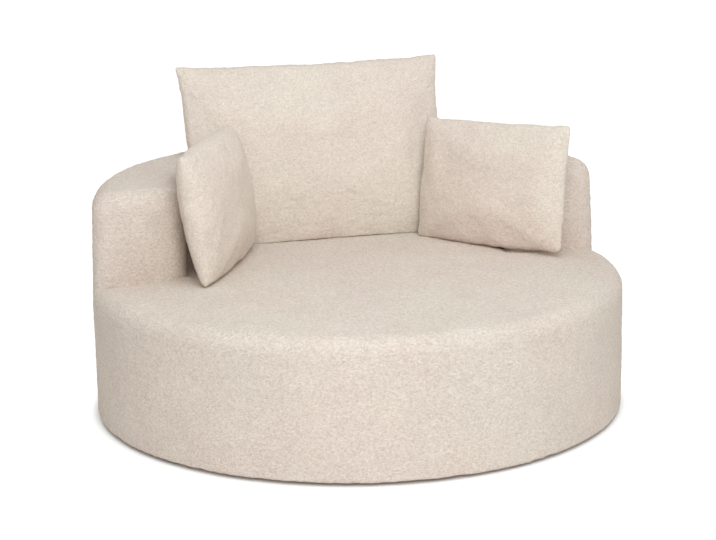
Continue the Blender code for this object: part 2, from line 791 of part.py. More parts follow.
def make_bolts():
    """Bolts that hold the back frame down on the seat ring, heads underneath."""
    head_top = SEAT_RING_UNDERSIDE - TOUCH
    tip = BACK_RAIL_BOTTOM + PLY + BOLT_SHOW
    for k, degrees in enumerate(BOLT_ANGLES):
        bm = bmesh.new()
        loops = []
        for radius, height in (
            (BOLT_HEAD_RADIUS, head_top - BOLT_HEAD_HEIGHT),
            (BOLT_HEAD_RADIUS, head_top),
            (BOLT_RADIUS, head_top),
            (BOLT_RADIUS, tip),
        ):
            loop = []
            for side in range(BOLT_SIDES):
                # The head is a hexagon: the middle of each flat lies nearer the axis.
                flat = radius == BOLT_HEAD_RADIUS and side % 2
                point = on_circle(radius * cos(pi / 6) if flat else radius, 2 * pi * side / BOLT_SIDES)
                loop.append(bm.verts.new((point.x, point.y, height)))
            loops.append(loop)
        for low, high in zip(loops, loops[1:]):
            for side in range(BOLT_SIDES):
                after = (side + 1) % BOLT_SIDES
                bm.faces.new((low[side], low[after], high[after], high[side]))
        bm.faces.new(loops[0][::-1])
        bm.faces.new(loops[-1])
        bolt = new_object(f"back_bolt_{k + 1}", bm, zinc_steel())
        place = bolt_place(degrees)
        bolt.location = (place.x, place.y, 0)


# The loose cushions.

def eased(share):
    """Grid places from -1 to 1 that crowd together a little near both ends."""
    even = 2 * share - 1
    return (sin(pi / 2 * even) + even) / 2


def cushion_frame(cushion):
    """Where the cushion stands: its foot on the seat, rolled, leaned back and turned."""
    x, y = cushion.foot
    place = Matrix.Translation((x, y, seat_surface(x, y)))
    angles = (radians(-cushion.lean), radians(cushion.roll), radians(cushion.turn))
    return place @ Euler(angles).to_matrix().to_4x4()


def cushion_point(cushion, u, v, side, layer):
    """A point of the cushion's skin: u across, v up, side -1 in front and 1 behind."""
    half_width = cushion.width / 2 - layer.edge
    half_height = cushion.height / 2 - layer.edge
    across = half_width * u * (1 - cushion.waist * (1 - v * v))
    across *= 1 - cushion.taper * (1 - v) / 2
    bow = cushion.hollow if v > 0 else cushion.droop
    up = half_height * v - bow * v * v * (1 - u * u)
    crown = max((1 - u * u) * (1 - v * v), 0.0) ** CROWN_POWER
    half = (cushion.thickness / 2 - layer.face) * crown * (1 - THINNER_TOP * v)
    if side > 0:
        half *= BACK_FACE_SHARE
    reach = abs(across) / (cushion.width / 2)
    forward = cushion.wrap * reach ** 2.5 * (0.65 - 0.35 * v)
    centre = cushion.height / 2 - cushion.sink - layer.sag * (1 - v) / 2 * (1 - u * u)
    return Vector((across, side * half - forward, centre + up))


def reaches_back(point, margin):
    """Whether a point comes nearer than a margin to the wall of the arms and back."""
    x = abs(point.x)
    lift = max(point.z - margin - (BACK_HEIGHT - BACK_TOP_ROUND), 0.0)
    if lift >= BACK_TOP_ROUND:
        return False
    margin -= BACK_TOP_ROUND - sqrt(BACK_TOP_ROUND ** 2 - lift ** 2)
    if point.y < ARM_FRONT_Y - margin:
        return False
    corner = Vector((WELL_HALF_WIDTH + ARM_INNER_ROUND, ARM_FRONT_Y + ARM_INNER_ROUND))
    if x < corner.x and point.y < corner.y:
        return (Vector((x, point.y)) - corner).length < ARM_INNER_ROUND + margin
    return sqrt(x * x + (point.y - WELL_CENTRE_Y) ** 2) > WELL_RADIUS - margin


def settled(point, frame, face, level):
    """Dent what the arms and back push in, and flatten what would sink into the seat."""
    for _ in range(DENT_STEPS):
        if not reaches_back(frame @ point, DENT_GAP + face):
            break
        point.y -= DENT_STEP
    world = frame @ point
    lowest = seat_surface(world.x, world.y) + TOUCH + level
    if world.z >= lowest:
        return point
    world.z = lowest
    return frame.inverted() @ world


def zip_columns(cushion):
    """First and last grid columns of the zip's slit in the bottom seam."""
    reach = [
        k for k in range(CUSHION_COLUMNS + 1)
        if abs(eased(k / CUSHION_COLUMNS)) * cushion.width <= cushion.zip_length
    ]
    return reach[0] - 1, reach[-1] + 1


def cushion_skin(bm, cushion, frame, layer, slit):
    """One skin of the cushion; returns the two edges of the slit in its bottom seam."""
    first, last = zip_columns(cushion)
    verts = {}
    for side in (-1, 1):
        for i in range(CUSHION_COLUMNS + 1):
            for j in range(CUSHION_ROWS + 1):
                on_seam = i in (0, CUSHION_COLUMNS) or j in (0, CUSHION_ROWS)
                in_slit = slit and j == 0 and first < i < last
                key = (i, j, 0 if on_seam and not in_slit else side)
                if key in verts:
                    continue
                u = eased(i / CUSHION_COLUMNS)
                v = eased(j / CUSHION_ROWS)
                point = cushion_point(cushion, u, v, side, layer)
                if in_slit:
                    point.y += side * ZIP_HALF_WIDTH
                verts[key] = bm.verts.new(settled(point, frame, layer.face, layer.level))
    for side in (-1, 1):
        for i in range(CUSHION_COLUMNS):
            for j in range(CUSHION_ROWS):
                corners = []
                for a, b in ((i, j), (i + 1, j), (i + 1, j + 1), (i, j + 1)):
                    corners.append(verts.get((a, b, side)) or verts[(a, b, 0)])
                bm.faces.new(corners if side < 0 else corners[::-1])
    rims = []
    for side in (-1, 1):
        middle = [verts[(i, 0, side)] for i in range(first + 1, last)] if slit else []
        rims.append([verts[(first, 0, 0)]] + middle + [verts[(last, 0, 0)]])
    return rims


def make_cushion_cover(cushion, frame, parent):
    """The cushion's cloth: two skins joined round the slit for the zip."""
    bm = bmesh.new()
    outer = cushion_skin(bm, cushion, frame, OUTSIDE, True)
    inner = cushion_skin(bm, cushion, frame, INSIDE, True)
    for outside, inside in zip(outer, inner):
        for k in range(len(outside) - 1):
            bm.faces.new((outside[k], outside[k + 1], inside[k + 1], inside[k]))
    cover = new_object(cushion.name + "_cover", bm, cushion_cloth(), 50)
    cover.parent = parent


def make_cushion_filling(cushion, frame, parent):
    """The fibre-filled inner bag, a little smaller than its cover and rounder at the ears."""
    bm = bmesh.new()
    cushion_skin(bm, cushion, frame, FILLING, False)
    filling = new_object(cushion.name + "_filling", bm, filling_material(), 50)
    filling.parent = parent


def make_cushion_zip(cushion, frame, parent):
    """The closed zip in the bottom seam, resting in the cover's slit."""
    first, last = zip_columns(cushion)
    bm = bmesh.new()
    rows = []
    for i in range(first + 1, last):
        u = eased(i / CUSHION_COLUMNS)
        row = []
        for side, layer in ((-1, OUTSIDE), (1, OUTSIDE), (1, INSIDE), (-1, INSIDE)):
            point = cushion_point(cushion, u, -1.0, side, layer)
            point.y += side * (ZIP_HALF_WIDTH - TOUCH)
            level = max(layer.level, TOUCH)
            row.append(bm.verts.new(settled(point, frame, layer.face, level)))
        rows.append(row)
    for before, after in zip(rows, rows[1:]):
        for k in range(4):
            bm.faces.new((before[k], after[k], after[(k + 1) % 4], before[(k + 1) % 4]))
    bm.faces.new(rows[0])
    bm.faces.new(rows[-1][::-1])
    zip_strip = new_object(cushion.name + "_zip", bm, zip_plastic())
    zip_strip.parent = parent


def make_cushion(cushion):
    """A loose cushion on its own empty: cover, filling and zip."""
    frame = cushion_frame(cushion)
    holder = bpy.data.objects.new(cushion.name, None)
    bpy.context.scene.collection.objects.link(holder)
    holder.location = frame.to_translation()
    holder.rotation_euler = frame.to_euler()
    make_cushion_cover(cushion, frame, holder)
    make_cushion_filling(cushion, frame, holder)
    make_cushion_zip(cushion, frame, holder)


def build_sofa():
    clear_scene()
    make_glides()
    make_base_ring()
    make_base_posts()
    make_cross_rails()
    make_seat_ring()
    make_webbing()
    make_side_skins()
    make_dust_cover()
    make_side_cover()
    back_cutter = make_back_cutter()
    make_seat_foam(back_cutter)
    make_seat_cover(back_cutter)
    make_back_rails()
    make_back_posts()
    make_back_panels()
    make_bolts()
    make_back_foam()
    make_back_cover()
    for cushion in CUSHIONS:
        make_cushion(cushion)


build_sofa()
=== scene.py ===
# %% [markdown]
# # A round sofa in curly teddy cloth
# The real sofa is a low drum with a C-shaped back standing on its rear half. One big
# cushion leans in the back, and a smaller pillow leans at each side of it. Everything
# that shows is one cream cloth with a short curly pile. The CAD part already holds
# every solid, so this lesson loads it as a fixed frame and dresses it: each soft piece
# is made again as a fuller mesh in the same place, and every finish is a node material.

# %% Load the frame
import json
from math import asin, cos, pi, radians, sin, sqrt

import bpy
import numpy as np
from mathutils import Euler, Matrix, Vector


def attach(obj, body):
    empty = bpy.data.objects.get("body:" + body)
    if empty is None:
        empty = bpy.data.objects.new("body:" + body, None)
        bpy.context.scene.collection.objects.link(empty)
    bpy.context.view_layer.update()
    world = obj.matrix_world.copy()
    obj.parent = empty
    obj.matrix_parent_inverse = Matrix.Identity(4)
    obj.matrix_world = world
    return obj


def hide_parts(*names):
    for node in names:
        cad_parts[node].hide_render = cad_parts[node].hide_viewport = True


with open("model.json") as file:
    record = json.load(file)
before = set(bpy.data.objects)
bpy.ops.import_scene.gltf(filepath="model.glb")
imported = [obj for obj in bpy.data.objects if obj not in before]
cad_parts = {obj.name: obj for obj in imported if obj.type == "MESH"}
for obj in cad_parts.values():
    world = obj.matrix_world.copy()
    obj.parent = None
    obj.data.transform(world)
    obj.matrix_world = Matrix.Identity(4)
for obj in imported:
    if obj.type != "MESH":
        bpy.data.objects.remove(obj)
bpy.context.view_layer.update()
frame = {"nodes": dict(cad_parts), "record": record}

nodes = frame["nodes"]
scene = bpy.context.scene

# %% [markdown]
# ## The sizes of the sofa
# The upholstery has to sit where the CAD solids are, so the sizes that shape it are
# repeated here once, in metres. The drum and the back share one radius. The inner wall
# of the back is a circle of its own, whose centre lies behind the drum's, so the back
# is thin in the middle and widens into the arms. The arms in the photograph are plump
# on their inner side, so their padding stands a little further in than the CAD cloth.

# %% Sizes of the drum and the back
SOFA_RADIUS = 0.75
SEAT_HEIGHT = 0.40
SEAT_CROWN = 0.012
SEAT_EDGE_RADIUS = 0.045
SEAM_DROP = 0.006
BACK_HEIGHT = 0.65
BACK_THICKNESS = 0.15
BACK_TOP_ROUND = 0.05
ARM_WIDTH = 0.25
ARM_FRONT_Y = 0.03
ARM_OUTER_ROUND = 0.045
ARM_INNER_ROUND = 0.07
ARM_PADDING = 0.033

EDGE_FOOT = SEAT_HEIGHT - SEAT_CROWN - SEAT_EDGE_RADIUS
SEAM_HEIGHT = EDGE_FOOT - SEAM_DROP
FLAT_RADIUS = SOFA_RADIUS - SEAT_EDGE_RADIUS
WELL_BACK_Y = SOFA_RADIUS - BACK_THICKNESS
WELL_HALF_WIDTH = SOFA_RADIUS - ARM_WIDTH - ARM_PADDING
WELL_CENTRE_Y = (WELL_BACK_Y ** 2 - WELL_HALF_WIDTH ** 2 - ARM_FRONT_Y ** 2) / (
    2 * (WELL_BACK_Y - ARM_FRONT_Y)
)
WELL_RADIUS = WELL_BACK_Y - WELL_CENTRE_Y
print("inner wall of the back: radius", round(WELL_RADIUS, 4), "m about y", round(WELL_CENTRE_Y, 4))

# %% [markdown]
# ## The camera
# The photograph was taken a little left of the middle and a little above the back, with
# a long lens. The place and the turn below come from fitting the outline of the drum.
# A camera looks along its own minus Z, so its three axes are worked out and written
# straight into its matrix.

# %% Camera
PHOTO_WIDTH = 716
FOCAL_IN_PIXELS = 1998.4
SENSOR_WIDTH = 36.0
CAMERA_PLACE = Vector((-1.5055, -5.3285, 1.7396))
CAMERA_TURN = 15.798
CAMERA_RISE = -13.754
CAMERA_ROLL = 0.932


def direction(turn, rise):
    """Unit vector that points turn degrees right of +Y and rise degrees up."""
    turn, rise = radians(turn), radians(rise)
    return Vector((sin(turn) * cos(rise), cos(turn) * cos(rise), sin(rise)))


camera = bpy.data.objects.new("camera", bpy.data.cameras.new("camera"))
camera.data.sensor_width = SENSOR_WIDTH
camera.data.lens = SENSOR_WIDTH * FOCAL_IN_PIXELS / PHOTO_WIDTH
scene.collection.objects.link(camera)
ahead = direction(CAMERA_TURN, CAMERA_RISE)
right = ahead.cross(Vector((0, 0, 1))).normalized()
above = right.cross(ahead)
roll = Matrix.Rotation(radians(CAMERA_ROLL), 3, ahead)
axes = Matrix((roll @ right, roll @ above, -ahead)).transposed()
camera.matrix_world = Matrix.Translation(CAMERA_PLACE) @ axes.to_4x4()
scene.camera = camera
print("camera is", round(CAMERA_PLACE.length, 2), "m off, lens", round(camera.data.lens, 1), "mm")

# %% [markdown]
# ## Light
# The photograph is a packshot: broad soft light, almost no shadow, and a pure white
# ground. Big area lamps give the broad light. The world lights the cloth from all
# round at a plain level, and only what the camera and mirrors see of it is full white.

# %% World
WORLD_STRENGTH = 0.62
WORLD_COLOUR = (1.0, 0.972, 0.938, 1.0)
WHITE = (1.0, 1.0, 1.0, 1.0)

scene.view_settings.view_transform = "Standard"


def math_node(tree, operation, first, second):
    """A Math node; each value is a number or another node's output."""
    made = tree.nodes.new("ShaderNodeMath")
    made.operation = operation
    for socket, value in zip(made.inputs, (first, second)):
        if isinstance(value, float):
            socket.default_value = value
        else:
            tree.links.new(value, socket)
    return made.outputs[0]


def mix_shaders(tree, share, first, second):
    """Two shaders mixed; a share of 1 gives the second."""
    made = tree.nodes.new("ShaderNodeMixShader")
    for socket, value in zip(made.inputs, (share, first, second)):
        tree.links.new(value, socket)
    return made.outputs[0]


def background(tree, colour, strength):
    """A plain light of one colour."""
    made = tree.nodes.new("ShaderNodeBackground")
    made.inputs["Color"].default_value = colour
    made.inputs["Strength"].default_value = strength
    return made.outputs[0]


world = bpy.data.worlds.new("studio")
scene.world = world
world.use_nodes = True
tree = world.node_tree
tree.nodes.clear()
ray = tree.nodes.new("ShaderNodeLightPath")
seen = math_node(tree, "MAXIMUM", ray.outputs["Is Camera Ray"], ray.outputs["Is Glossy Ray"])
seen = math_node(tree, "MAXIMUM", seen, ray.outputs["Is Transmission Ray"])
soft_light = background(tree, WORLD_COLOUR, WORLD_STRENGTH)
white_ground = background(tree, WHITE, 1.0)
output = tree.nodes.new("ShaderNodeOutputWorld")
tree.links.new(mix_shaders(tree, seen, soft_light, white_ground), output.inputs["Surface"])
print("world strength:", WORLD_STRENGTH)

# %% Lamps
LAMP_SIZE = 2.6
LAMP_AIM = Vector((0, 0, 0.35))
# Each lamp: name, where it hangs, its power in watts and its colour.
LAMPS = (
    ("key_softbox", (-0.6, -3.9, 2.8), 79.0, (1.0, 0.98, 0.985)),
    ("top_softbox", (0.0, -2.0, 3.6), 47.0, (0.74, 0.95, 1.0)),
)
for name, spot, power, colour in LAMPS:
    lamp = bpy.data.objects.new(name, bpy.data.lights.new(name, "AREA"))
    lamp.data.shape = "DISK"
    lamp.data.size = LAMP_SIZE
    lamp.data.energy = power
    lamp.data.color = colour
    lamp.location = spot
    lamp.rotation_euler = (LAMP_AIM - Vector(spot)).to_track_quat("-Z", "Y").to_euler()
    scene.collection.objects.link(lamp)
print("lamps:", [name for name, *rest in LAMPS])

# %% [markdown]
# ## The floor
# The floor has to be white for the camera and still keep the sofa's faint shadow. So
# the camera sees mostly glow and a share of plain matt white. Close to the drum's foot
# it sees the matt floor alone, which gives the thin dark line where the hem meets the
# ground. From below the floor is clear, so the underside can be looked at.

# %% White floor that keeps a faint shadow
FLOOR_HALF = 12.0
FLOOR_MATT = (0.92, 0.92, 0.92, 1.0)
GLOW_STRENGTH = 1.25
SHADOW_SHARE = 0.25
# Radii round the middle of the drum, in metres.
OPEN_UNDER = 0.70
DARK_UNDER = 0.742
WHITE_BEYOND = 0.775

floor_paint = bpy.data.materials.new("white_floor")
floor_paint.use_nodes = True
tree = floor_paint.node_tree
tree.nodes.clear()
ray = tree.nodes.new("ShaderNodeLightPath")
spot_on_floor = tree.nodes.new("ShaderNodeTexCoord")
from_middle = tree.nodes.new("ShaderNodeVectorMath")
from_middle.operation = "LENGTH"
tree.links.new(spot_on_floor.outputs["Object"], from_middle.inputs[0])
beyond = tree.nodes.new("ShaderNodeMapRange")
beyond.inputs["From Min"].default_value = DARK_UNDER
beyond.inputs["From Max"].default_value = WHITE_BEYOND
beyond.inputs["To Max"].default_value = 1.0 - SHADOW_SHARE
tree.links.new(from_middle.outputs["Value"], beyond.inputs["Value"])
share = math_node(tree, "MULTIPLY", ray.outputs["Is Camera Ray"], beyond.outputs["Result"])
matt = tree.nodes.new("ShaderNodeBsdfDiffuse")
matt.inputs["Color"].default_value = FLOOR_MATT
glow = tree.nodes.new("ShaderNodeEmission")
glow.inputs["Color"].default_value = WHITE
glow.inputs["Strength"].default_value = GLOW_STRENGTH
from_above = mix_shaders(tree, share, matt.outputs[0], glow.outputs[0])
print("floor is matt to", DARK_UNDER, "m from the middle and glows from", WHITE_BEYOND, "m on")

# %% Clear from below
face_side = tree.nodes.new("ShaderNodeNewGeometry")
clear = tree.nodes.new("ShaderNodeBsdfTransparent")
under_drum = math_node(tree, "LESS_THAN", from_middle.outputs["Value"], OPEN_UNDER)
bounced = math_node(tree, "MAXIMUM", ray.outputs["Is Diffuse Ray"], ray.outputs["Is Shadow Ray"])
lets_up = math_node(tree, "MULTIPLY", under_drum, bounced)
lets_through = math_node(tree, "MAXIMUM", lets_up, face_side.outputs["Backfacing"])
output = tree.nodes.new("ShaderNodeOutputMaterial")
both_sides = mix_shaders(tree, lets_through, from_above, clear.outputs[0])
tree.links.new(both_sides, output.inputs["Surface"])

floor_mesh = bpy.data.meshes.new("studio_floor")
corners = [(-FLOOR_HALF, -FLOOR_HALF, 0), (FLOOR_HALF, -FLOOR_HALF, 0),
           (FLOOR_HALF, FLOOR_HALF, 0), (-FLOOR_HALF, FLOOR_HALF, 0)]
floor_mesh.from_pydata(corners, [], [(0, 1, 2, 3)])
floor_mesh.materials.append(floor_paint)
studio_floor = bpy.data.objects.new("studio_floor", floor_mesh)
scene.collection.objects.link(studio_floor)
print("floor is", 2 * FLOOR_HALF, "m wide")

# %% [markdown]
# ## The teddy cloth
# Teddy is a knitted cloth whose pile is brushed into short curls, about a centimetre
# across. Seen from across a room it is a fine grain of pale tips and darker gaps, a
# little longer sideways than upwards, with faint pink and grey patches where the pile
# lies differently. The darker gaps are shade between the curls, and the finish paints
# that shade into its colour. A picture of cloth would need seams in a UV map, so the
# finish is built from noise in object space, which runs on over every edge.

# %% Helpers for colours and noise
def srgb(red, green, blue):
    """A colour written as on screen, turned into the linear numbers that nodes want."""
    return tuple(value ** 2.2 for value in (red, green, blue)) + (1.0,)


def noise_node(tree, coordinates, scale, detail, roughness, distortion=0.0):
    """A noise texture that reads the given coordinates."""
    made = tree.nodes.new("ShaderNodeTexNoise")
    made.inputs["Scale"].default_value = scale
    made.inputs["Detail"].default_value = detail
    made.inputs["Roughness"].default_value = roughness
    made.inputs["Distortion"].default_value = distortion
    tree.links.new(coordinates, made.inputs["Vector"])
    return made


def ramp_node(tree, source, *stops):
    """A colour ramp from (position, colour) stops."""
    made = tree.nodes.new("ShaderNodeValToRGB")
    ramp = made.color_ramp
    while len(ramp.elements) < len(stops):
        ramp.elements.new(0.5)
    for element, (position, colour) in zip(ramp.elements, stops):
        element.position = position
        element.color = colour
    tree.links.new(source, made.inputs["Fac"])
    return made


def mix_colours(tree, kind, amount, first, second):
    """Blend two colour outputs; amount is a number or an output."""
    made = tree.nodes.new("ShaderNodeMix")
    made.data_type = "RGBA"
    made.blend_type = kind
    if isinstance(amount, float):
        made.inputs["Factor"].default_value = amount
    else:
        tree.links.new(amount, made.inputs["Factor"])
    # The Mix node's sockets for colours come after those for numbers and vectors.
    tree.links.new(first, made.inputs[6])
    tree.links.new(second, made.inputs[7])
    return made.outputs[2]


print("middle grey on screen is", round(srgb(0.5, 0.5, 0.5)[0], 3), "to a node")

# %% Helpers for finishes
EVEN = (1.0, 1.0, 1.0)


def object_coordinates(tree, stretch):
    """Object-space coordinates, squeezed so that the pattern is longer one way."""
    source = tree.nodes.new("ShaderNodeTexCoord")
    squeeze = tree.nodes.new("ShaderNodeMapping")
    squeeze.inputs["Scale"].default_value = stretch
    tree.links.new(source.outputs["Object"], squeeze.inputs["Vector"])
    return squeeze.outputs["Vector"]


def plain_shader(name, roughness):
    """A new material with its shader and node tree."""
    made = bpy.data.materials.new(name)
    made.use_nodes = True
    shader = made.node_tree.nodes["Principled BSDF"]
    shader.inputs["Roughness"].default_value = roughness
    return made, made.node_tree, shader


def bump_from(tree, shader, height, strength, distance):
    """Bump on the shader's normal; distance is in metres."""
    bump = tree.nodes.new("ShaderNodeBump")
    bump.inputs["Strength"].default_value = strength
    bump.inputs["Distance"].default_value = distance
    tree.links.new(height, bump.inputs["Height"])
    tree.links.new(bump.outputs["Normal"], shader.inputs["Normal"])


def add_heights(tree, first, second, weight):
    """first plus weight times second."""
    made = tree.nodes.new("ShaderNodeMath")
    made.operation = "MULTIPLY_ADD"
    tree.links.new(second, made.inputs[0])
    made.inputs[1].default_value = weight
    tree.links.new(first, made.inputs[2])
    return made.outputs[0]


print("finish helpers are ready")

# %% Teddy cloth material
# Bumps to the metre: curls, the fibres in them, lying patches and warm patches.
CURL_SCALE, FIBRE_SCALE, PATCH_SCALE, WARMTH_SCALE = 150.0, 420.0, 7.0, 3.4
FIBRE_SHARE = 0.45
PILE_DEPTH = 0.005


def teddy_cloth(name, gap, middle, tip, stretch, relief):
    """Curly pile: gap, middle and tip are the colours from the depth to the tips; the darker gap
    colour is painted shade in the hollows between the curls.
    """
    made, tree, shader = plain_shader(name, 0.92)
    across = object_coordinates(tree, stretch)
    even = object_coordinates(tree, EVEN)
    curls = noise_node(tree, across, CURL_SCALE, 3.0, 0.62, 0.9)
    fibres = noise_node(tree, across, FIBRE_SCALE, 2.0, 0.7, 0.3)
    patches = noise_node(tree, even, PATCH_SCALE, 3.0, 0.6)
    warmth = noise_node(tree, even, WARMTH_SCALE, 2.0, 0.5)
    pile = add_heights(tree, curls.outputs["Fac"], fibres.outputs["Fac"], FIBRE_SHARE)
    # Painted shade: the colour darkens towards the gap colour where the pile is low, in the hollows
    # between the curls.
    grain = ramp_node(tree, pile, (0.58, gap), (0.73, middle), (0.88, tip))
    lying = ramp_node(tree, patches.outputs["Fac"], (0.35, srgb(0.98, 0.98, 0.98)),
                      (0.65, srgb(1.0, 1.0, 1.0)))
    tint = ramp_node(tree, warmth.outputs["Fac"], (0.38, srgb(1.0, 0.988, 0.985)),
                     (0.62, srgb(0.99, 0.995, 0.985)))
    colour = mix_colours(tree, "MULTIPLY", 1.0, grain.outputs["Color"], lying.outputs["Color"])
    colour = mix_colours(tree, "MULTIPLY", 1.0, colour, tint.outputs["Color"])
    tree.links.new(colour, shader.inputs["Base Color"])
    shader.inputs["Sheen Weight"].default_value = 0.22
    shader.inputs["Sheen Roughness"].default_value = 0.55
    shader.inputs["Sheen Tint"].default_value = tip
    shader.inputs["Specular IOR Level"].default_value = 0.15
    bump_from(tree, shader, pile, relief, PILE_DEPTH)
    return made


# The first colour of each cloth, the gap colour, is painted shade in the hollows of the pile.
TEDDY = teddy_cloth(
    "teddy_cloth", srgb(0.815, 0.76, 0.715), srgb(0.885, 0.832, 0.79), srgb(0.94, 0.892, 0.855),
    (1.0, 1.0, 1.5), 0.82,
)
CUSHION_TEDDY = teddy_cloth(
    "cushion_cloth", srgb(0.836, 0.781, 0.736), srgb(0.888, 0.835, 0.793), srgb(0.928, 0.881, 0.843),
    (1.05, 1.05, 1.4), 0.6,
)
print("cloth materials:", TEDDY.name, CUSHION_TEDDY.name)

# %% [markdown]
# ## Pile as real shape
# Bump alone leaves a knife-sharp outline, and the real sofa has a slightly furry one.
# So the meshes are moved a little along their normals: slow waves where cloth lies over
# foam, lumps of a few centimetres, and the curls themselves. The noise below is made
# with whole-number sums, so it is the same each time the script runs.

# %% Helpers for meshes
def new_piece(name, points, faces, material):
    """A smooth-shaded mesh object from arrays of points and faces."""
    mesh = bpy.data.meshes.new(name)
    mesh.from_pydata(np.asarray(points).tolist(), [], [list(map(int, face)) for face in faces])
    mesh.shade_smooth()
    mesh.materials.append(material)
    piece = bpy.data.objects.new(name, mesh)
    scene.collection.objects.link(piece)
    return piece


def points_of(piece):
    """The piece's points as rows of x, y and z."""
    spots = np.zeros(len(piece.data.vertices) * 3)
    piece.data.vertices.foreach_get("co", spots)
    return spots.reshape(-1, 3)


def set_points(piece, spots):
    """Move the piece's points to new places."""
    piece.data.vertices.foreach_set("co", np.ascontiguousarray(spots).ravel())
    piece.data.update()


def normals_of(piece):
    """The direction that each point's surface faces."""
    normals = np.zeros(len(piece.data.vertices) * 3)
    piece.data.vertex_normals.foreach_get("vector", normals)
    return normals.reshape(-1, 3)


def bake_modifiers(piece):
    """Make what the modifiers show the piece's own mesh, and drop the modifiers."""
    graph = bpy.context.evaluated_depsgraph_get()
    shown = bpy.data.meshes.new_from_object(piece.evaluated_get(graph))
    piece.modifiers.clear()
    piece.data = shown
    piece.data.shade_smooth()


print("mesh helpers are ready")

# %% Noise and pile
def soft_noise(spots, cell, seed):
    """Smooth random heights from -1 to 1 that change over about one cell."""
    place = spots / cell
    corner = np.floor(place).astype(np.int64)
    share = place - corner
    share = share * share * (3 - 2 * share)
    total = np.zeros(len(spots))
    for step in np.ndindex(2, 2, 2):
        # Large odd numbers scramble a corner's place into a value that looks random.
        at = corner + step
        mixed = at[:, 0] * 73856093 ^ at[:, 1] * 19349663 ^ at[:, 2] * 83492791 ^ seed * 26544357
        mixed = (mixed ^ mixed >> 13) * 1274126177
        value = (mixed >> 16 & 0xFFFF) / 32767.5 - 1
        total += value * np.prod(np.where(step, share, 1 - share), axis=1)
    return total


# Each layer of the pile: how far apart its bumps are, how high they are, how much flatter.
PILE = ((0.240, 0.0012, 1.0), (0.055, 0.0010, 1.0), (0.020, 0.0008, 1.5), (0.0105, 0.0011, 1.8))
DRUM_SEED, BACK_SEED, CUSHION_SEED, SEED_STEP = 11, 21, 31, 10


def raise_pile(piece, seed):
    """Move every point along its normal by the layers of the pile."""
    spots, normals = points_of(piece), normals_of(piece)
    height = np.zeros(len(spots))
    for layer, (cell, high, flatter) in enumerate(PILE):
        squeezed = spots * (1.0, 1.0, flatter)
        height += high * soft_noise(squeezed, cell, seed + layer)
    set_points(piece, spots + normals * height[:, None])


print("pile stands at most", round(sum(high for cell, high, flatter in PILE) * 1000, 1), "mm out")

# %% [markdown]
# ## The drum
# The drum's cloth is a band round the side and a round top, pulled over foam so that
# the seat's edge is soft and no seam shows at the front. A profile spun round the Z
# axis is the quickest way to such a form, and it gives even faces for the pile. The
# cloth dips where the arms and the back press on the seat.

# %% Helper: places on the seat and in the C
def seat_surface(x, y):
    """Height of the crowned seat over a point."""
    reach = np.minimum(np.hypot(x, y) / FLAT_RADIUS, 1.0)
    return SEAT_HEIGHT - SEAT_CROWN * reach ** 2


def depth_in_back(x, y):
    """How deep a point lies inside the plan of the arms and back; below 0 is outside."""
    behind_wall = np.hypot(x, y - WELL_CENTRE_Y) - WELL_RADIUS
    return np.minimum(behind_wall, y - ARM_FRONT_Y)


def smooth_step(value, low, high):
    """0 below low, 1 above high, and a soft rise between."""
    share = np.clip((value - low) / (high - low), 0.0, 1.0)
    return share * share * (3 - 2 * share)


seat_edge = round(float(seat_surface(FLAT_RADIUS, 0.0)), 3)
print("seat height in the middle and at the edge:", SEAT_HEIGHT, seat_edge)

# %% Drum profile
HEM_ROUND = 0.010
HEM_BOTTOM = 0.0087
HEM_WIDTH = 0.025
HEM_LIFT = 0.004
HEM_STEPS, SIDE_STEPS, EDGE_STEPS, TOP_STEPS = 6, 46, 17, 96


def quarter(count):
    """(across, up) shares of a quarter circle that starts upright and ends level."""
    return [(1 - cos(pi / 2 * k / count), sin(pi / 2 * k / count)) for k in range(count + 1)]


def drum_profile():
    """(radius, height) from under the hem, up the side, over the edge and to the middle."""
    hem_top = HEM_BOTTOM + HEM_ROUND
    hem_edge = SOFA_RADIUS - HEM_ROUND
    profile = [(hem_edge - HEM_WIDTH, HEM_BOTTOM + HEM_LIFT)]
    profile += [(hem_edge - HEM_WIDTH * share, HEM_BOTTOM) for share in (1, 0.5, 0.1)]
    for across, up in reversed(quarter(HEM_STEPS)):
        profile.append((SOFA_RADIUS - HEM_ROUND * across, hem_top - HEM_ROUND * up))
    rise = np.linspace(hem_top, EDGE_FOOT, SIDE_STEPS)[1:]
    profile += [(SOFA_RADIUS, height) for height in rise]
    for across, up in quarter(EDGE_STEPS)[1:]:
        radius = SOFA_RADIUS - SEAT_EDGE_RADIUS * across
        profile.append((radius, EDGE_FOOT + SEAT_EDGE_RADIUS * up))
    for radius in np.linspace(FLAT_RADIUS, 0.0, TOP_STEPS)[1:-1]:
        profile.append((radius, float(seat_surface(radius, 0.0))))
    return np.array(profile)


profile = drum_profile()
print("profile points:", len(profile))

# %% Spin the drum
DRUM_SEGMENTS = 680


def spin(profile, segments):
    """Points and faces of a profile spun round Z, closed by one point at the top."""
    angles = np.arange(segments) * 2 * pi / segments
    rings = [
        np.column_stack((radius * np.cos(angles), radius * np.sin(angles), np.full(segments, height)))
        for radius, height in profile
    ]
    spots = np.vstack(rings + [[[0.0, 0.0, SEAT_HEIGHT]]])
    here = np.arange(segments)
    after = (here + 1) % segments
    faces = []
    for row in range(len(profile) - 1):
        low, high = row * segments, (row + 1) * segments
        faces += np.column_stack((low + here, low + after, high + after, high + here)).tolist()
    last = (len(profile) - 1) * segments
    faces += [[last + a, last + b, len(spots) - 1] for a, b in zip(here, after)]
    return spots, faces


spots, faces = spin(profile, DRUM_SEGMENTS)
print("drum points:", len(spots), "in rings of", DRUM_SEGMENTS)

# %% Press the drum in under the back
SEAT_DIP = 0.006
DIP_REACH = 0.012
DIP_FROM = EDGE_FOOT + 0.03
RIM_TUCK = 0.014
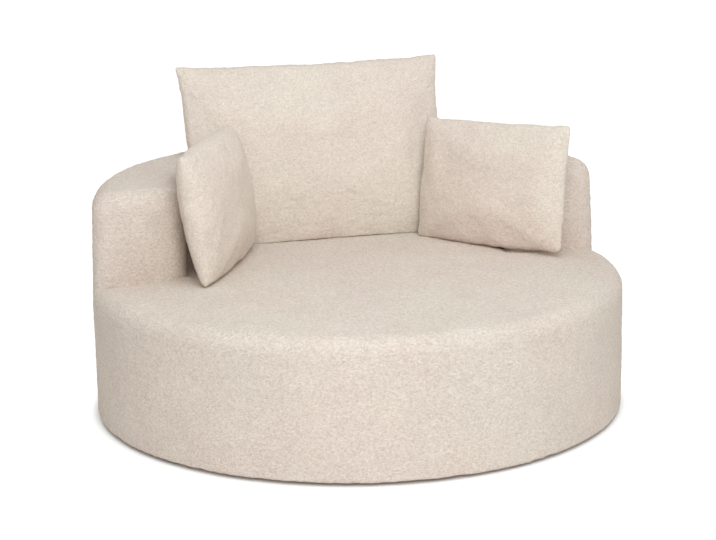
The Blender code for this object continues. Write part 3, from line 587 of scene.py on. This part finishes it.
# Where the tuck starts and where it is full: by height, by y and by radius.
TUCK_HEIGHTS = (SEAM_HEIGHT - 0.006, SEAM_HEIGHT + 0.004)
TUCK_Y = (ARM_FRONT_Y + 0.030, ARM_FRONT_Y + 0.055)
TUCK_RADII = (0.70, 0.74)


def press_into_seat(spots):
    """Dip the seat along the arms and back, and tuck the rim in under the back's cloth."""
    x, y, z = spots.T
    depth = depth_in_back(x, y)
    on_top = smooth_step(z, DIP_FROM, SEAT_HEIGHT - SEAT_CROWN)
    dip = SEAT_DIP * np.exp(-np.abs(depth) / DIP_REACH) * on_top
    under = smooth_step(z, *TUCK_HEIGHTS) * smooth_step(y, *TUCK_Y)
    under = under * smooth_step(np.hypot(x, y), *TUCK_RADII)
    inward = 1 - RIM_TUCK * under / SOFA_RADIUS
    return np.column_stack((x * inward, y * inward, z - dip))


drum = new_piece("drum_upholstery", press_into_seat(spots), faces, TEDDY)
raise_pile(drum, DRUM_SEED)
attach(drum, "sofa_body")
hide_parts("side_cover", "seat_cover")
print("drum faces:", len(drum.data.polygons))

# %% [markdown]
# ## The arms and back
# The back is one foam-covered C with soft edges, and its cloth is pulled over it like a
# hood. Its two ends are the arms' front faces. A row of cross-sections follows the C,
# each one a tall shape with rounded shoulders, and the sections near the ends stand in
# a little so that the ends get round edges too. A voxel remesh then turns it into even
# small faces, which the flat ends need before the pile can be raised on them.

# %% Cross-sections of the back
ARC_STATIONS = 150
END_STATIONS = 12


def rounding(radius, depth):
    """How far a rounded edge stands back at a depth behind its face."""
    if depth >= radius:
        return 0.0
    return radius - sqrt(radius * radius - (radius - depth) ** 2)


def arm_stations():
    """(outer, inner, depth) of the left arm, from its front face backwards."""
    stations = []
    widest = max(ARM_OUTER_ROUND, ARM_INNER_ROUND)
    for across, up in quarter(END_STATIONS):
        depth = widest * across
        y = ARM_FRONT_Y + depth
        outer_x = rounding(ARM_OUTER_ROUND, depth) - sqrt(SOFA_RADIUS ** 2 - y ** 2)
        inner_x = -sqrt(WELL_RADIUS ** 2 - (y - WELL_CENTRE_Y) ** 2)
        inner_x -= rounding(ARM_INNER_ROUND, depth)
        stations.append((Vector((outer_x, y)), Vector((inner_x, y)), depth))
    return stations


def arc_stations():
    """The same round the back, from the left arm to the right."""
    start_y = ARM_FRONT_Y + max(ARM_OUTER_ROUND, ARM_INNER_ROUND)
    outer_start = asin(start_y / SOFA_RADIUS)
    inner_start = asin((start_y - WELL_CENTRE_Y) / WELL_RADIUS)
    stations = []
    for k in range(1, ARC_STATIONS):
        share = 1 - k / ARC_STATIONS
        outer = outer_start + share * (pi - 2 * outer_start)
        inner = inner_start + share * (pi - 2 * inner_start)
        stations.append((
            SOFA_RADIUS * Vector((cos(outer), sin(outer))),
            WELL_RADIUS * Vector((cos(inner), sin(inner))) + Vector((0, WELL_CENTRE_Y)), 1.0,
        ))
    return stations


left_arm = arm_stations()
right_arm = [(Vector((-o.x, o.y)), Vector((-i.x, i.y)), depth) for o, i, depth in reversed(left_arm)]
stations = left_arm + arc_stations() + right_arm
print("cross-sections:", len(stations))

# %% One cross-section and the loft
FOOT_HIDDEN = 0.006
FOOT_TUCK = 0.008
BACK_LEAN_IN = 0.012
WALL_STEPS, SHOULDER_STEPS = 8, 10


def section(outer, inner, depth):
    """Points round one cross-section: up outside, over the top and down inside."""
    top = BACK_HEIGHT - rounding(BACK_TOP_ROUND, depth)
    across = (inner - outer).normalized()
    foot, rise = SEAM_HEIGHT + FOOT_HIDDEN, BACK_HEIGHT - SEAM_HEIGHT
    points = [(outer + across * FOOT_TUCK, SEAM_HEIGHT - FOOT_HIDDEN)]
    wall = [(0.0, height) for height in np.linspace(foot, top - BACK_TOP_ROUND, WALL_STEPS)]
    shoulder = [
        (BACK_TOP_ROUND * step_in, top - BACK_TOP_ROUND * (1 - up))
        for step_in, up in quarter(SHOULDER_STEPS)
    ]
    for step_in, height in wall + shoulder[1:]:
        lean = BACK_LEAN_IN * (height - SEAM_HEIGHT) / rise
        points.append((outer + across * (step_in + lean), height))
    for step_in, height in reversed(shoulder):
        points.append((inner - across * step_in, height))
    points.append((inner, SEAM_HEIGHT - FOOT_HIDDEN))
    return [(spot.x, spot.y, height) for spot, height in points]


def loft(sections):
    """A closed tube through the sections, with a face over each end."""
    size = len(sections[0])
    spots = [spot for ring in sections for spot in ring]
    faces = []
    for row in range(len(sections) - 1):
        for k in range(size):
            after = (k + 1) % size
            low, high = row * size, (row + 1) * size
            faces.append((low + k, low + after, high + after, high + k))
    faces.append(tuple(range(size))[::-1])
    faces.append(tuple(range(len(spots) - size, len(spots))))
    return spots, faces


spots, faces = loft([section(*station) for station in stations])
print("points of the lofted back:", len(spots))

# %% Remesh the back
REMESH_SIZE = 0.0055
SMOOTH_ROUNDS = 6

back = new_piece("back_upholstery", spots, faces, TEDDY)
remesh = back.modifiers.new("even_faces", "REMESH")
remesh.mode = "VOXEL"
remesh.voxel_size = REMESH_SIZE
smooth = back.modifiers.new("soft_steps", "SMOOTH")
smooth.factor = 0.5
smooth.iterations = SMOOTH_ROUNDS
bake_modifiers(back)
print("back faces after the remesh:", len(back.data.polygons))

# %% Puff the arm ends out and raise the pile
END_BULGE = 0.006
BULGE_DEPTH = 0.10


def puff(spots):
    """Let the foam push the arms' front faces a little out."""
    x, y, z = spots.T
    middle = (SOFA_RADIUS + WELL_HALF_WIDTH) / 2
    side = np.clip(1 - ((np.abs(x) - middle) / (ARM_WIDTH / 2)) ** 2, 0, 1)
    tall = np.clip((z - SEAT_HEIGHT) / (BACK_HEIGHT - SEAT_HEIGHT), 0, 1)
    near = np.clip(1 - (y - ARM_FRONT_Y) / BULGE_DEPTH, 0, 1)
    push = END_BULGE * side * 4 * tall * (1 - tall) * near
    return np.column_stack((x, y - push, z))


set_points(back, puff(points_of(back)))
raise_pile(back, BACK_SEED)
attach(back, "sofa_body")
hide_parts("back_cover")
print("arm fronts bulge", END_BULGE * 1000, "mm")

# %% [markdown]
# ## The cushions
# Each cushion is two panels of cloth sewn round the edge and filled with fibre, so it
# is thick in the middle, thin at the seam and pointed at its corners, and it is flat
# only where it stands on the seat. The start is a grid for each panel, joined at the
# border, on the crowned form that the CAD cushion has. Blender's cloth solver then
# blows it up a little with air pressure, which fills the corners and draws small folds
# along the seam. How far a point may move is capped, so the cushion keeps its place.

# %% The three cushions
# Lengths are in metres and angles in degrees. foot is where the cushion stands and sink
# how deep. waist draws the sides in, hollow and droop bow the head and foot seams, wrap
# bends the sides forward and blunt rounds the ears. crown is how full the middle is,
# thinner_top how much slimmer the head is, and back_share the back panel's fullness.
CUSHIONS = {
    "back_cushion": dict(
        width=0.823, height=0.567, thickness=0.190, foot=(0.002, 0.413), sink=0.030,
        turn=0.0, lean=15.0, roll=0.3, waist=0.038, taper=0.015, hollow=0.011, droop=0.0,
        wrap=0.050, blunt=0.006, crown=0.40, thinner_top=0.12, back_share=0.70, zip=0.480,
        columns=84, rows=60,
    ),
    "left_pillow": dict(
        width=0.515, height=0.371, thickness=0.148, foot=(-0.347, 0.114), sink=-0.001,
        turn=62.3, lean=8.8, roll=-0.7, waist=0.01, taper=0.0, hollow=-0.004, droop=0.002,
        wrap=0.0, blunt=0.014, crown=0.38, thinner_top=-0.08, back_share=0.90, zip=0.260,
        columns=52, rows=40,
    ),
    "right_pillow": dict(
        width=0.516, height=0.372, thickness=0.136, foot=(0.434, 0.117), sink=-0.001,
        turn=-54.0, lean=11.0, roll=-2.0, waist=0.01, taper=0.0, hollow=0.007, droop=0.002,
        wrap=0.0, blunt=0.018, crown=0.46, thinner_top=0.08, back_share=0.68, zip=0.260,
        columns=52, rows=40,
    ),
}
BLUNT_POWER = 18
WRAP_POWER = 2.5
WRAP_MIDDLE, WRAP_LEAN = 0.65, 0.35


def standing(c):
    """The matrix that stands a cushion on the seat: rolled, leaned back and turned."""
    x, y = c["foot"]
    angles = (radians(-c["lean"]), radians(c["roll"]), radians(c["turn"]))
    return Matrix.Translation((x, y, float(seat_surface(x, y)))) @ Euler(angles).to_matrix().to_4x4()


def cushion_point(c, u, v, side, shrink):
    """A point of a panel: u across, v up, side -1 in front and 1 behind."""
    across = (c["width"] / 2 - shrink) * u * (1 - c["waist"] * (1 - v * v))
    across = across * (1 - c["taper"] * (1 - v) / 2)
    bow = np.where(v > 0, c["hollow"], c["droop"])
    up = (c["height"] / 2 - shrink) * v - bow * v * v * (1 - u * u)
    crown = np.maximum((1 - u * u) * (1 - v * v), 0.0) ** c["crown"]
    half = (c["thickness"] / 2 - shrink) * crown * (1 - c["thinner_top"] * v)
    half = half * np.where(side > 0, c["back_share"], 1.0)
    blunt = 1 - c["blunt"] * (u * v) ** BLUNT_POWER
    across, up = across * blunt, up * blunt
    reach = np.abs(across) / (c["width"] / 2)
    forward = c["wrap"] * reach ** WRAP_POWER * (WRAP_MIDDLE - WRAP_LEAN * v)
    return np.column_stack((across, side * half - forward, c["height"] / 2 - c["sink"] + up))


print("cushions:", {name: (c["width"], c["height"]) for name, c in CUSHIONS.items()})

# %% Lay out the two panels
def two_panels(columns, rows):
    """Grid places (u, v, side) of both panels, which share their border, and the faces."""
    numbers, places = {}, []
    for side in (-1, 1):
        for i in range(columns + 1):
            for j in range(rows + 1):
                border = i in (0, columns) or j in (0, rows)
                key = (i, j, 0 if border else side)
                if key not in numbers:
                    numbers[key] = len(places)
                    even_u, even_v = 2 * i / columns - 1, 2 * j / rows - 1
                    u = (sin(pi / 2 * even_u) + even_u) / 2
                    v = (sin(pi / 2 * even_v) + even_v) / 2
                    places.append((u, v, side))
    faces = []
    for side in (-1, 1):
        for i in range(columns):
            for j in range(rows):
                corners = [
                    numbers.get((a, b, side), numbers.get((a, b, 0)))
                    for a, b in ((i, j), (i + 1, j), (i + 1, j + 1), (i, j + 1))
                ]
                faces.append(corners if side < 0 else corners[::-1])
    seam = [number for (i, j, side), number in numbers.items() if side == 0]
    return np.array(places), faces, seam


pillow = CUSHIONS["left_pillow"]
print("faces of a pillow's panels:", len(two_panels(pillow["columns"], pillow["rows"])[1]))

# %% Keep a cushion clear of the seat and the wall
WALL_GAP = 0.004
SEAT_GAP = 0.0012
PUSH_STEP = 0.001
DEEPEST_DENT = 80
FADE_ROUNDS = 60


def too_near_wall(spots, gap):
    """Which points come nearer than a gap to the arms and back."""
    x, y, z = np.abs(spots[:, 0]), spots[:, 1], spots[:, 2]
    lift = np.clip(z - (BACK_HEIGHT - BACK_TOP_ROUND), 0.0, BACK_TOP_ROUND)
    margin = gap - (BACK_TOP_ROUND - np.sqrt(BACK_TOP_ROUND ** 2 - lift ** 2))
    corner_x, corner_y = WELL_HALF_WIDTH + ARM_INNER_ROUND, ARM_FRONT_Y + ARM_INNER_ROUND
    at_corner = (x < corner_x) & (y < corner_y)
    corner_near = np.hypot(x - corner_x, y - corner_y) < ARM_INNER_ROUND + margin
    wall_near = np.hypot(x, y - WELL_CENTRE_Y) > WELL_RADIUS - margin
    near = np.where(at_corner, corner_near, wall_near)
    return near & (y > ARM_FRONT_Y - margin) & (lift < BACK_TOP_ROUND)


def fade_out(dent, edges, rounds):
    """Let a dent fade over its neighbours, but never make it less deep."""
    beside = np.bincount(edges.ravel(), minlength=len(dent))
    faded = dent.copy()
    for _ in range(rounds):
        total = np.zeros(len(dent))
        np.add.at(total, edges[:, 0], faded[edges[:, 1]])
        np.add.at(total, edges[:, 1], faded[edges[:, 0]])
        faded = np.maximum(dent, total / beside)
    return faded


def settle(piece, frame_matrix, rounds, inner=0.0):
    """Dent the cushion where the wall pushes, and flatten it on the seat."""
    # The cushion's own Y axis points out of its back.
    forward = -np.array(frame_matrix.col[1][:3])
    start = points_of(piece)
    dent = np.zeros(len(start))
    for _ in range(DEEPEST_DENT):
        near = too_near_wall(start + dent[:, None] * forward, WALL_GAP + inner)
        dent[near] += PUSH_STEP
    edges = np.zeros(len(piece.data.edges) * 2, dtype=np.int64)
    piece.data.edges.foreach_get("vertices", edges)
    dent = fade_out(dent, edges.reshape(-1, 2), rounds)
    spots = start + dent[:, None] * forward
    floor_under = seat_surface(spots[:, 0], spots[:, 1]) + SEAT_GAP + inner
    spots[:, 2] = np.maximum(spots[:, 2], floor_under)
    set_points(piece, spots)


print("a dent may be", round(DEEPEST_DENT * PUSH_STEP * 1000), "mm deep")

# %% Blow up the cushions with Cloth
PRESSURE = 4.0
LAST_FRAME = 20
MOVE_CAP = 0.003
FOLD_DEGREE = 5
SEAM_HOLD = 0.25
SEAM_ZONE = 0.25


def broad_part(move, places):
    """The slow part of a movement: a polynomial over each panel, fitted to all points."""
    u, v, side = places.T
    columns = []
    for a in range(FOLD_DEGREE + 1):
        for b in range(FOLD_DEGREE + 1 - a):
            columns += [u ** a * v ** b, side * u ** a * v ** b]
    base = np.column_stack(columns)
    return base @ np.linalg.lstsq(base, move, rcond=None)[0]


def inflate(piece, places):
    """Run the cloth solver with pressure and no gravity; keep the folds, not the growth.

    Returns how far the longest fold reached before it was capped.
    """
    before = points_of(piece)
    cloth = piece.modifiers.new("filling_pressure", "CLOTH")
    cloth.settings.quality = 6
    cloth.settings.mass = 0.3
    cloth.settings.tension_stiffness = 12
    cloth.settings.compression_stiffness = 12
    cloth.settings.shear_stiffness = 5
    cloth.settings.bending_stiffness = 2.5
    cloth.settings.shrink_min = -0.015
    cloth.settings.use_pressure = True
    cloth.settings.uniform_pressure_force = PRESSURE
    cloth.settings.effector_weights.gravity = 0.0
    cloth.collision_settings.use_collision = False
    cloth.point_cache.frame_start = 1
    cloth.point_cache.frame_end = LAST_FRAME
    for number in range(1, LAST_FRAME + 1):
        scene.frame_set(number)
    graph = bpy.context.evaluated_depsgraph_get()
    after = points_of(piece.evaluated_get(graph))
    piece.modifiers.clear()
    scene.frame_set(1)
    move = after - before
    move -= broad_part(move, places)
    from_seam = 1 - np.abs(places[:, :2]).max(axis=1)
    move *= (SEAM_HOLD + (1 - SEAM_HOLD) * smooth_step(from_seam, 0.0, SEAM_ZONE))[:, None]
    length = np.linalg.norm(move, axis=1, keepdims=True) + 1e-9
    set_points(piece, before + move * MOVE_CAP * np.tanh(length / MOVE_CAP) / length)
    return float(length.max())


print("the solver runs", LAST_FRAME, "frames for each cushion")

# %% Make the cushions
SHRINK = 0.002
SEAM_CREASE = 0.5


def make_cushion(name, c, seed):
    """One cushion, from its flat grid to its curly finish."""
    places, faces, seam = two_panels(c["columns"], c["rows"])
    u, v, side = places.T
    frame_matrix = standing(c)
    turn = np.array(frame_matrix.to_3x3())
    local = cushion_point(c, u, v, side, SHRINK)
    spots = local @ turn.T + np.array(frame_matrix.translation)
    piece = new_piece(name + "_teddy", spots, faces, CUSHION_TEDDY)
    longest = inflate(piece, places)
    on_seam = set(seam)
    crease = piece.data.attributes.new("crease_edge", "FLOAT", "EDGE")
    crease.data.foreach_set("value", [
        SEAM_CREASE if set(edge.vertices) <= on_seam else 0.0 for edge in piece.data.edges
    ])
    piece.modifiers.new("rounder", "SUBSURF").levels = 1
    piece.modifiers["rounder"].render_levels = 1
    bake_modifiers(piece)
    raise_pile(piece, seed)
    settle(piece, frame_matrix, FADE_ROUNDS)
    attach(piece, name)
    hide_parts(name + "_cover")
    fold = round(longest * 1000, 1)
    print(name, "faces", len(piece.data.polygons), "longest fold before the cap", fold, "mm")


for number, (name, c) in enumerate(CUSHIONS.items()):
    make_cushion(name, c, CUSHION_SEED + SEED_STEP * number)

# %% [markdown]
# ## Foam and filling
# Under the cloth are foam blocks and, in each cushion, a bag of fibre. They don't show
# in the photograph, but the solids are there. The foams get copies with a bevel, which
# takes the cut edge off, and give way a few millimetres where the cloth presses on
# them. The bags are made from the same panels as their covers, a little smaller all
# round, so they never come through the cloth.

# %% Finish for foam and fibre
def grainy(name, dark, pale, scale, stretch, roughness, strength, distance):
    """A finish of two colours mixed by noise, with bump from the same noise."""
    made, tree, shader = plain_shader(name, roughness)
    coordinates = object_coordinates(tree, stretch)
    fine = noise_node(tree, coordinates, scale, 4.0, 0.65, 0.4)
    broad = noise_node(tree, coordinates, scale / 12, 2.0, 0.5)
    colour = ramp_node(tree, fine.outputs["Fac"], (0.32, dark), (0.68, pale))
    shade = ramp_node(tree, broad.outputs["Fac"], (0.3, srgb(0.93, 0.93, 0.93)), (0.7, srgb(1, 1, 1)))
    mixed = mix_colours(tree, "MULTIPLY", 1.0, colour.outputs["Color"], shade.outputs["Color"])
    tree.links.new(mixed, shader.inputs["Base Color"])
    bump_from(tree, shader, fine.outputs["Fac"], strength, distance)
    return made


finishes = {}
finishes["foam"] = grainy("foam", srgb(0.86, 0.80, 0.60), srgb(0.95, 0.91, 0.75), 700.0,
                          EVEN, 0.95, 0.5, 0.001)
finishes["fibre_filling"] = grainy("fibre_filling", srgb(0.88, 0.88, 0.86), srgb(0.96, 0.96, 0.95),
                                   240.0, (1.0, 1.0, 0.5), 0.95, 0.4, 0.001)
slot_of = {row["node"]: row["material_slot"] for row in frame["record"]["subparts"]}
print("slots in the record:", sorted(set(slot_of.values())))

# %% Foams with softened edges
FOAM_BEVEL = 0.004
CUT_ANGLE = 50
FOAM_SLACK = {"seat_foam": 0.008, "back_foam": 0.003, "side_foam": 0.002}
CLOTH_OVER_FOAM = 0.007

for node, slot in slot_of.items():
    if slot != "foam":
        continue
    piece = bpy.data.objects.new(node + "_soft", nodes[node].data.copy())
    scene.collection.objects.link(piece)
    piece.data.materials.clear()
    piece.data.materials.append(finishes[slot])
    bevel = piece.modifiers.new("cut_edge", "BEVEL")
    bevel.width = FOAM_BEVEL
    bevel.segments = 2
    bevel.limit_method = "ANGLE"
    bevel.angle_limit = radians(CUT_ANGLE)
    bake_modifiers(piece)
    inward = normals_of(piece) * FOAM_SLACK[node]
    inward[:, 2] = np.maximum(inward[:, 2], 0.0)
    spots = points_of(piece) - inward
    reach = np.hypot(spots[:, 0], spots[:, 1])
    allowed = (SOFA_RADIUS - CLOTH_OVER_FOAM) / np.maximum(reach, CLOTH_OVER_FOAM)
    spots[:, :2] *= np.minimum(1.0, allowed)[:, None]
    set_points(piece, spots)
    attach(piece, "sofa_body")
    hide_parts(node)
    print(piece.name, "faces", len(piece.data.polygons))

# %% Bags of fibre
BAG_INSET = 0.024
BAG_GAP = 0.006

for name, c in CUSHIONS.items():
    places, faces, _ = two_panels(c["columns"] // 2, c["rows"] // 2)
    frame_matrix = standing(c)
    local = cushion_point(c, *places.T, BAG_INSET)
    spots = local @ np.array(frame_matrix.to_3x3()).T + np.array(frame_matrix.translation)
    bag = new_piece(name + "_filling_soft", spots, faces, finishes["fibre_filling"])
    plump = bag.modifiers.new("plump", "SUBSURF")
    plump.levels = 1
    plump.render_levels = 1
    bake_modifiers(bag)
    settle(bag, frame_matrix, FADE_ROUNDS // 4, BAG_GAP)
    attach(bag, name)
    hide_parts(name + "_filling")
    print(bag.name, "faces", len(bag.data.polygons))

# %% [markdown]
# ## The hidden frame
# The frame is the CAD solids as they are: ply plates, pine posts, bent hardboard, woven
# elastic webbing, the black cloth under the base, glides and bolts. Their shapes are
# right, so only the finishes change. Ply shows its layers on cut edges, timber has grain
# along it and webbing has ribs. The finish of the zips' nylon is made here too.

# %% Helpers for plywood and ribs
def plywood_finish():
    """Face grain, and dark and pale layers on the cut edges."""
    made, tree, shader = plain_shader("plywood", 0.6)
    grain = noise_node(tree, object_coordinates(tree, (4.0, 60.0, 60.0)), 1.0, 5.0, 0.6, 0.6)
    face = ramp_node(tree, grain.outputs["Fac"], (0.3, srgb(0.72, 0.57, 0.38)),
                     (0.7, srgb(0.86, 0.73, 0.53)))
    layers = tree.nodes.new("ShaderNodeTexWave")
    layers.bands_direction = "Z"
    layers.inputs["Scale"].default_value = 90.0
    layers.inputs["Distortion"].default_value = 0.3
    tree.links.new(object_coordinates(tree, EVEN), layers.inputs["Vector"])
    edge = ramp_node(tree, layers.outputs["Fac"], (0.4, srgb(0.60, 0.46, 0.30)),
                     (0.6, srgb(0.84, 0.71, 0.51)))
    facing = tree.nodes.new("ShaderNodeSeparateXYZ")
    geometry = tree.nodes.new("ShaderNodeNewGeometry")
    tree.links.new(geometry.outputs["Normal"], facing.inputs[0])
    upright = tree.nodes.new("ShaderNodeMath")
    upright.operation = "ABSOLUTE"
    tree.links.new(facing.outputs["Z"], upright.inputs[0])
    flat = ramp_node(tree, upright.outputs[0], (0.45, (0, 0, 0, 1)), (0.55, (1, 1, 1, 1)))
    colour = mix_colours(
        tree, "MIX", flat.outputs["Color"], edge.outputs["Color"], face.outputs["Color"],
    )
    tree.links.new(colour, shader.inputs["Base Color"])
    bump_from(tree, shader, grain.outputs["Fac"], 0.2, 0.0005)
    return made


def ribbed_finish(name, dark, pale, scale, axis, roughness, strength):
    """Fine ribs across one axis, over a noise that breaks them up."""
    made, tree, shader = plain_shader(name, roughness)
    coordinates = object_coordinates(tree, EVEN)
    ribs = tree.nodes.new("ShaderNodeTexWave")
    ribs.bands_direction = axis
    ribs.inputs["Scale"].default_value = scale
    ribs.inputs["Distortion"].default_value = 0.4
    tree.links.new(coordinates, ribs.inputs["Vector"])
    fluff = noise_node(tree, coordinates, 900.0, 2.0, 0.6)
    height = add_heights(tree, ribs.outputs["Fac"], fluff.outputs["Fac"], 0.4)
    colour = ramp_node(tree, height, (0.3, dark), (1.0, pale))
    tree.links.new(colour.outputs["Color"], shader.inputs["Base Color"])
    bump_from(tree, shader, height, strength, 0.0008)
    return made


print("plywood and rib helpers are ready")

# %% Finishes of boards, metal and plastic
finishes["plywood"] = plywood_finish()
finishes["timber"] = grainy("timber", srgb(0.72, 0.57, 0.37), srgb(0.87, 0.75, 0.55), 90.0,
                            (1.0, 1.0, 0.08), 0.65, 0.25, 0.0006)
finishes["hardboard"] = grainy("hardboard", srgb(0.40, 0.28, 0.18), srgb(0.56, 0.42, 0.28), 900.0,
                               EVEN, 0.7, 0.2, 0.0004)
finishes["elastic_webbing"] = ribbed_finish("elastic_webbing", srgb(0.07, 0.07, 0.07),
                                            srgb(0.24, 0.22, 0.21), 260.0, "DIAGONAL", 0.8, 0.7)
finishes["dust_cloth"] = grainy("dust_cloth", srgb(0.08, 0.08, 0.085), srgb(0.22, 0.22, 0.225), 260.0,
                                EVEN, 0.95, 0.6, 0.0008)
finishes["glide_plastic"] = grainy("glide_plastic", srgb(0.05, 0.05, 0.05), srgb(0.09, 0.09, 0.09),
                                   400.0, EVEN, 0.42, 0.1, 0.0002)
finishes["zinc_steel"] = grainy("zinc_steel", srgb(0.62, 0.63, 0.65), srgb(0.80, 0.81, 0.82), 300.0,
                                EVEN, 0.35, 0.1, 0.0002)
finishes["zinc_steel"].node_tree.nodes["Principled BSDF"].inputs["Metallic"].default_value = 1.0
finishes["zip_nylon"] = ribbed_finish("zip_nylon", srgb(0.62, 0.56, 0.49), srgb(0.85, 0.80, 0.73),
                                      420.0, "X", 0.55, 0.9)
print("finishes:", sorted(finishes))

# %% [markdown]
# ## The zips
# A zip closes each cushion's cover in its foot seam, where nobody sees it. The cushions
# here are a little fuller than the CAD ones, so a straight CAD zip would stand off the
# seam. Each zip is a narrow strip that follows the foot seam of its own cushion: two
# flat tapes, with the raised coil between them facing the seat.

# %% Zips in the foot seams
ZIP_STEPS = 60
MILLIMETRE = 0.001
ZIP_RAISE = 0.002
# (across, height over the seat) in millimetres, once round the strip.
ZIP_SECTION = (
    (-3.5, 1.1), (-1.5, 1.1), (-1.1, 0.3), (1.1, 0.3), (1.5, 1.1), (3.5, 1.1), (0.0, 1.5),
)

for name, c in CUSHIONS.items():
    u = np.linspace(-1.0, 1.0, ZIP_STEPS) * c["zip"] / c["width"]
    frame_matrix = standing(c)
    foot_seam = np.full(ZIP_STEPS, -1.0)
    seam_line = cushion_point(c, u, foot_seam, foot_seam, SHRINK)
    sections = []
    for spot in seam_line:
        seam_spot = frame_matrix @ Vector(spot)
        foot = max(seam_spot.z + ZIP_RAISE, float(seat_surface(seam_spot.x, seam_spot.y)))
        ring = [
            frame_matrix @ Vector((spot[0], spot[1] + wide * MILLIMETRE, spot[2]))
            for wide, high in ZIP_SECTION
        ]
        sections.append([
            (at.x, at.y, foot + high * MILLIMETRE) for at, (wide, high) in zip(ring, ZIP_SECTION)
        ])
    strip = new_piece(name + "_zip_strip", *loft(sections), finishes["zip_nylon"])
    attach(strip, name)
    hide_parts(name + "_zip")
print("zips are", [round(c["zip"], 2) for c in CUSHIONS.values()], "m long")

# %% [markdown]
# ## Finishes for the CAD nodes
# The record names a material slot for each node. Every CAD solid that still shows gets
# the finish of its slot, and its mesh is left alone.

# %% Put the finishes on the CAD nodes
for node, slot in slot_of.items():
    cad = nodes[node]
    if cad.hide_render:
        continue
    cad.data.materials.clear()
    cad.data.materials.append(finishes[slot])
    for face in cad.data.polygons:
        face.material_index = 0
shown = [node for node in nodes if not nodes[node].hide_render]
print("CAD nodes that keep their shape:", len(shown))
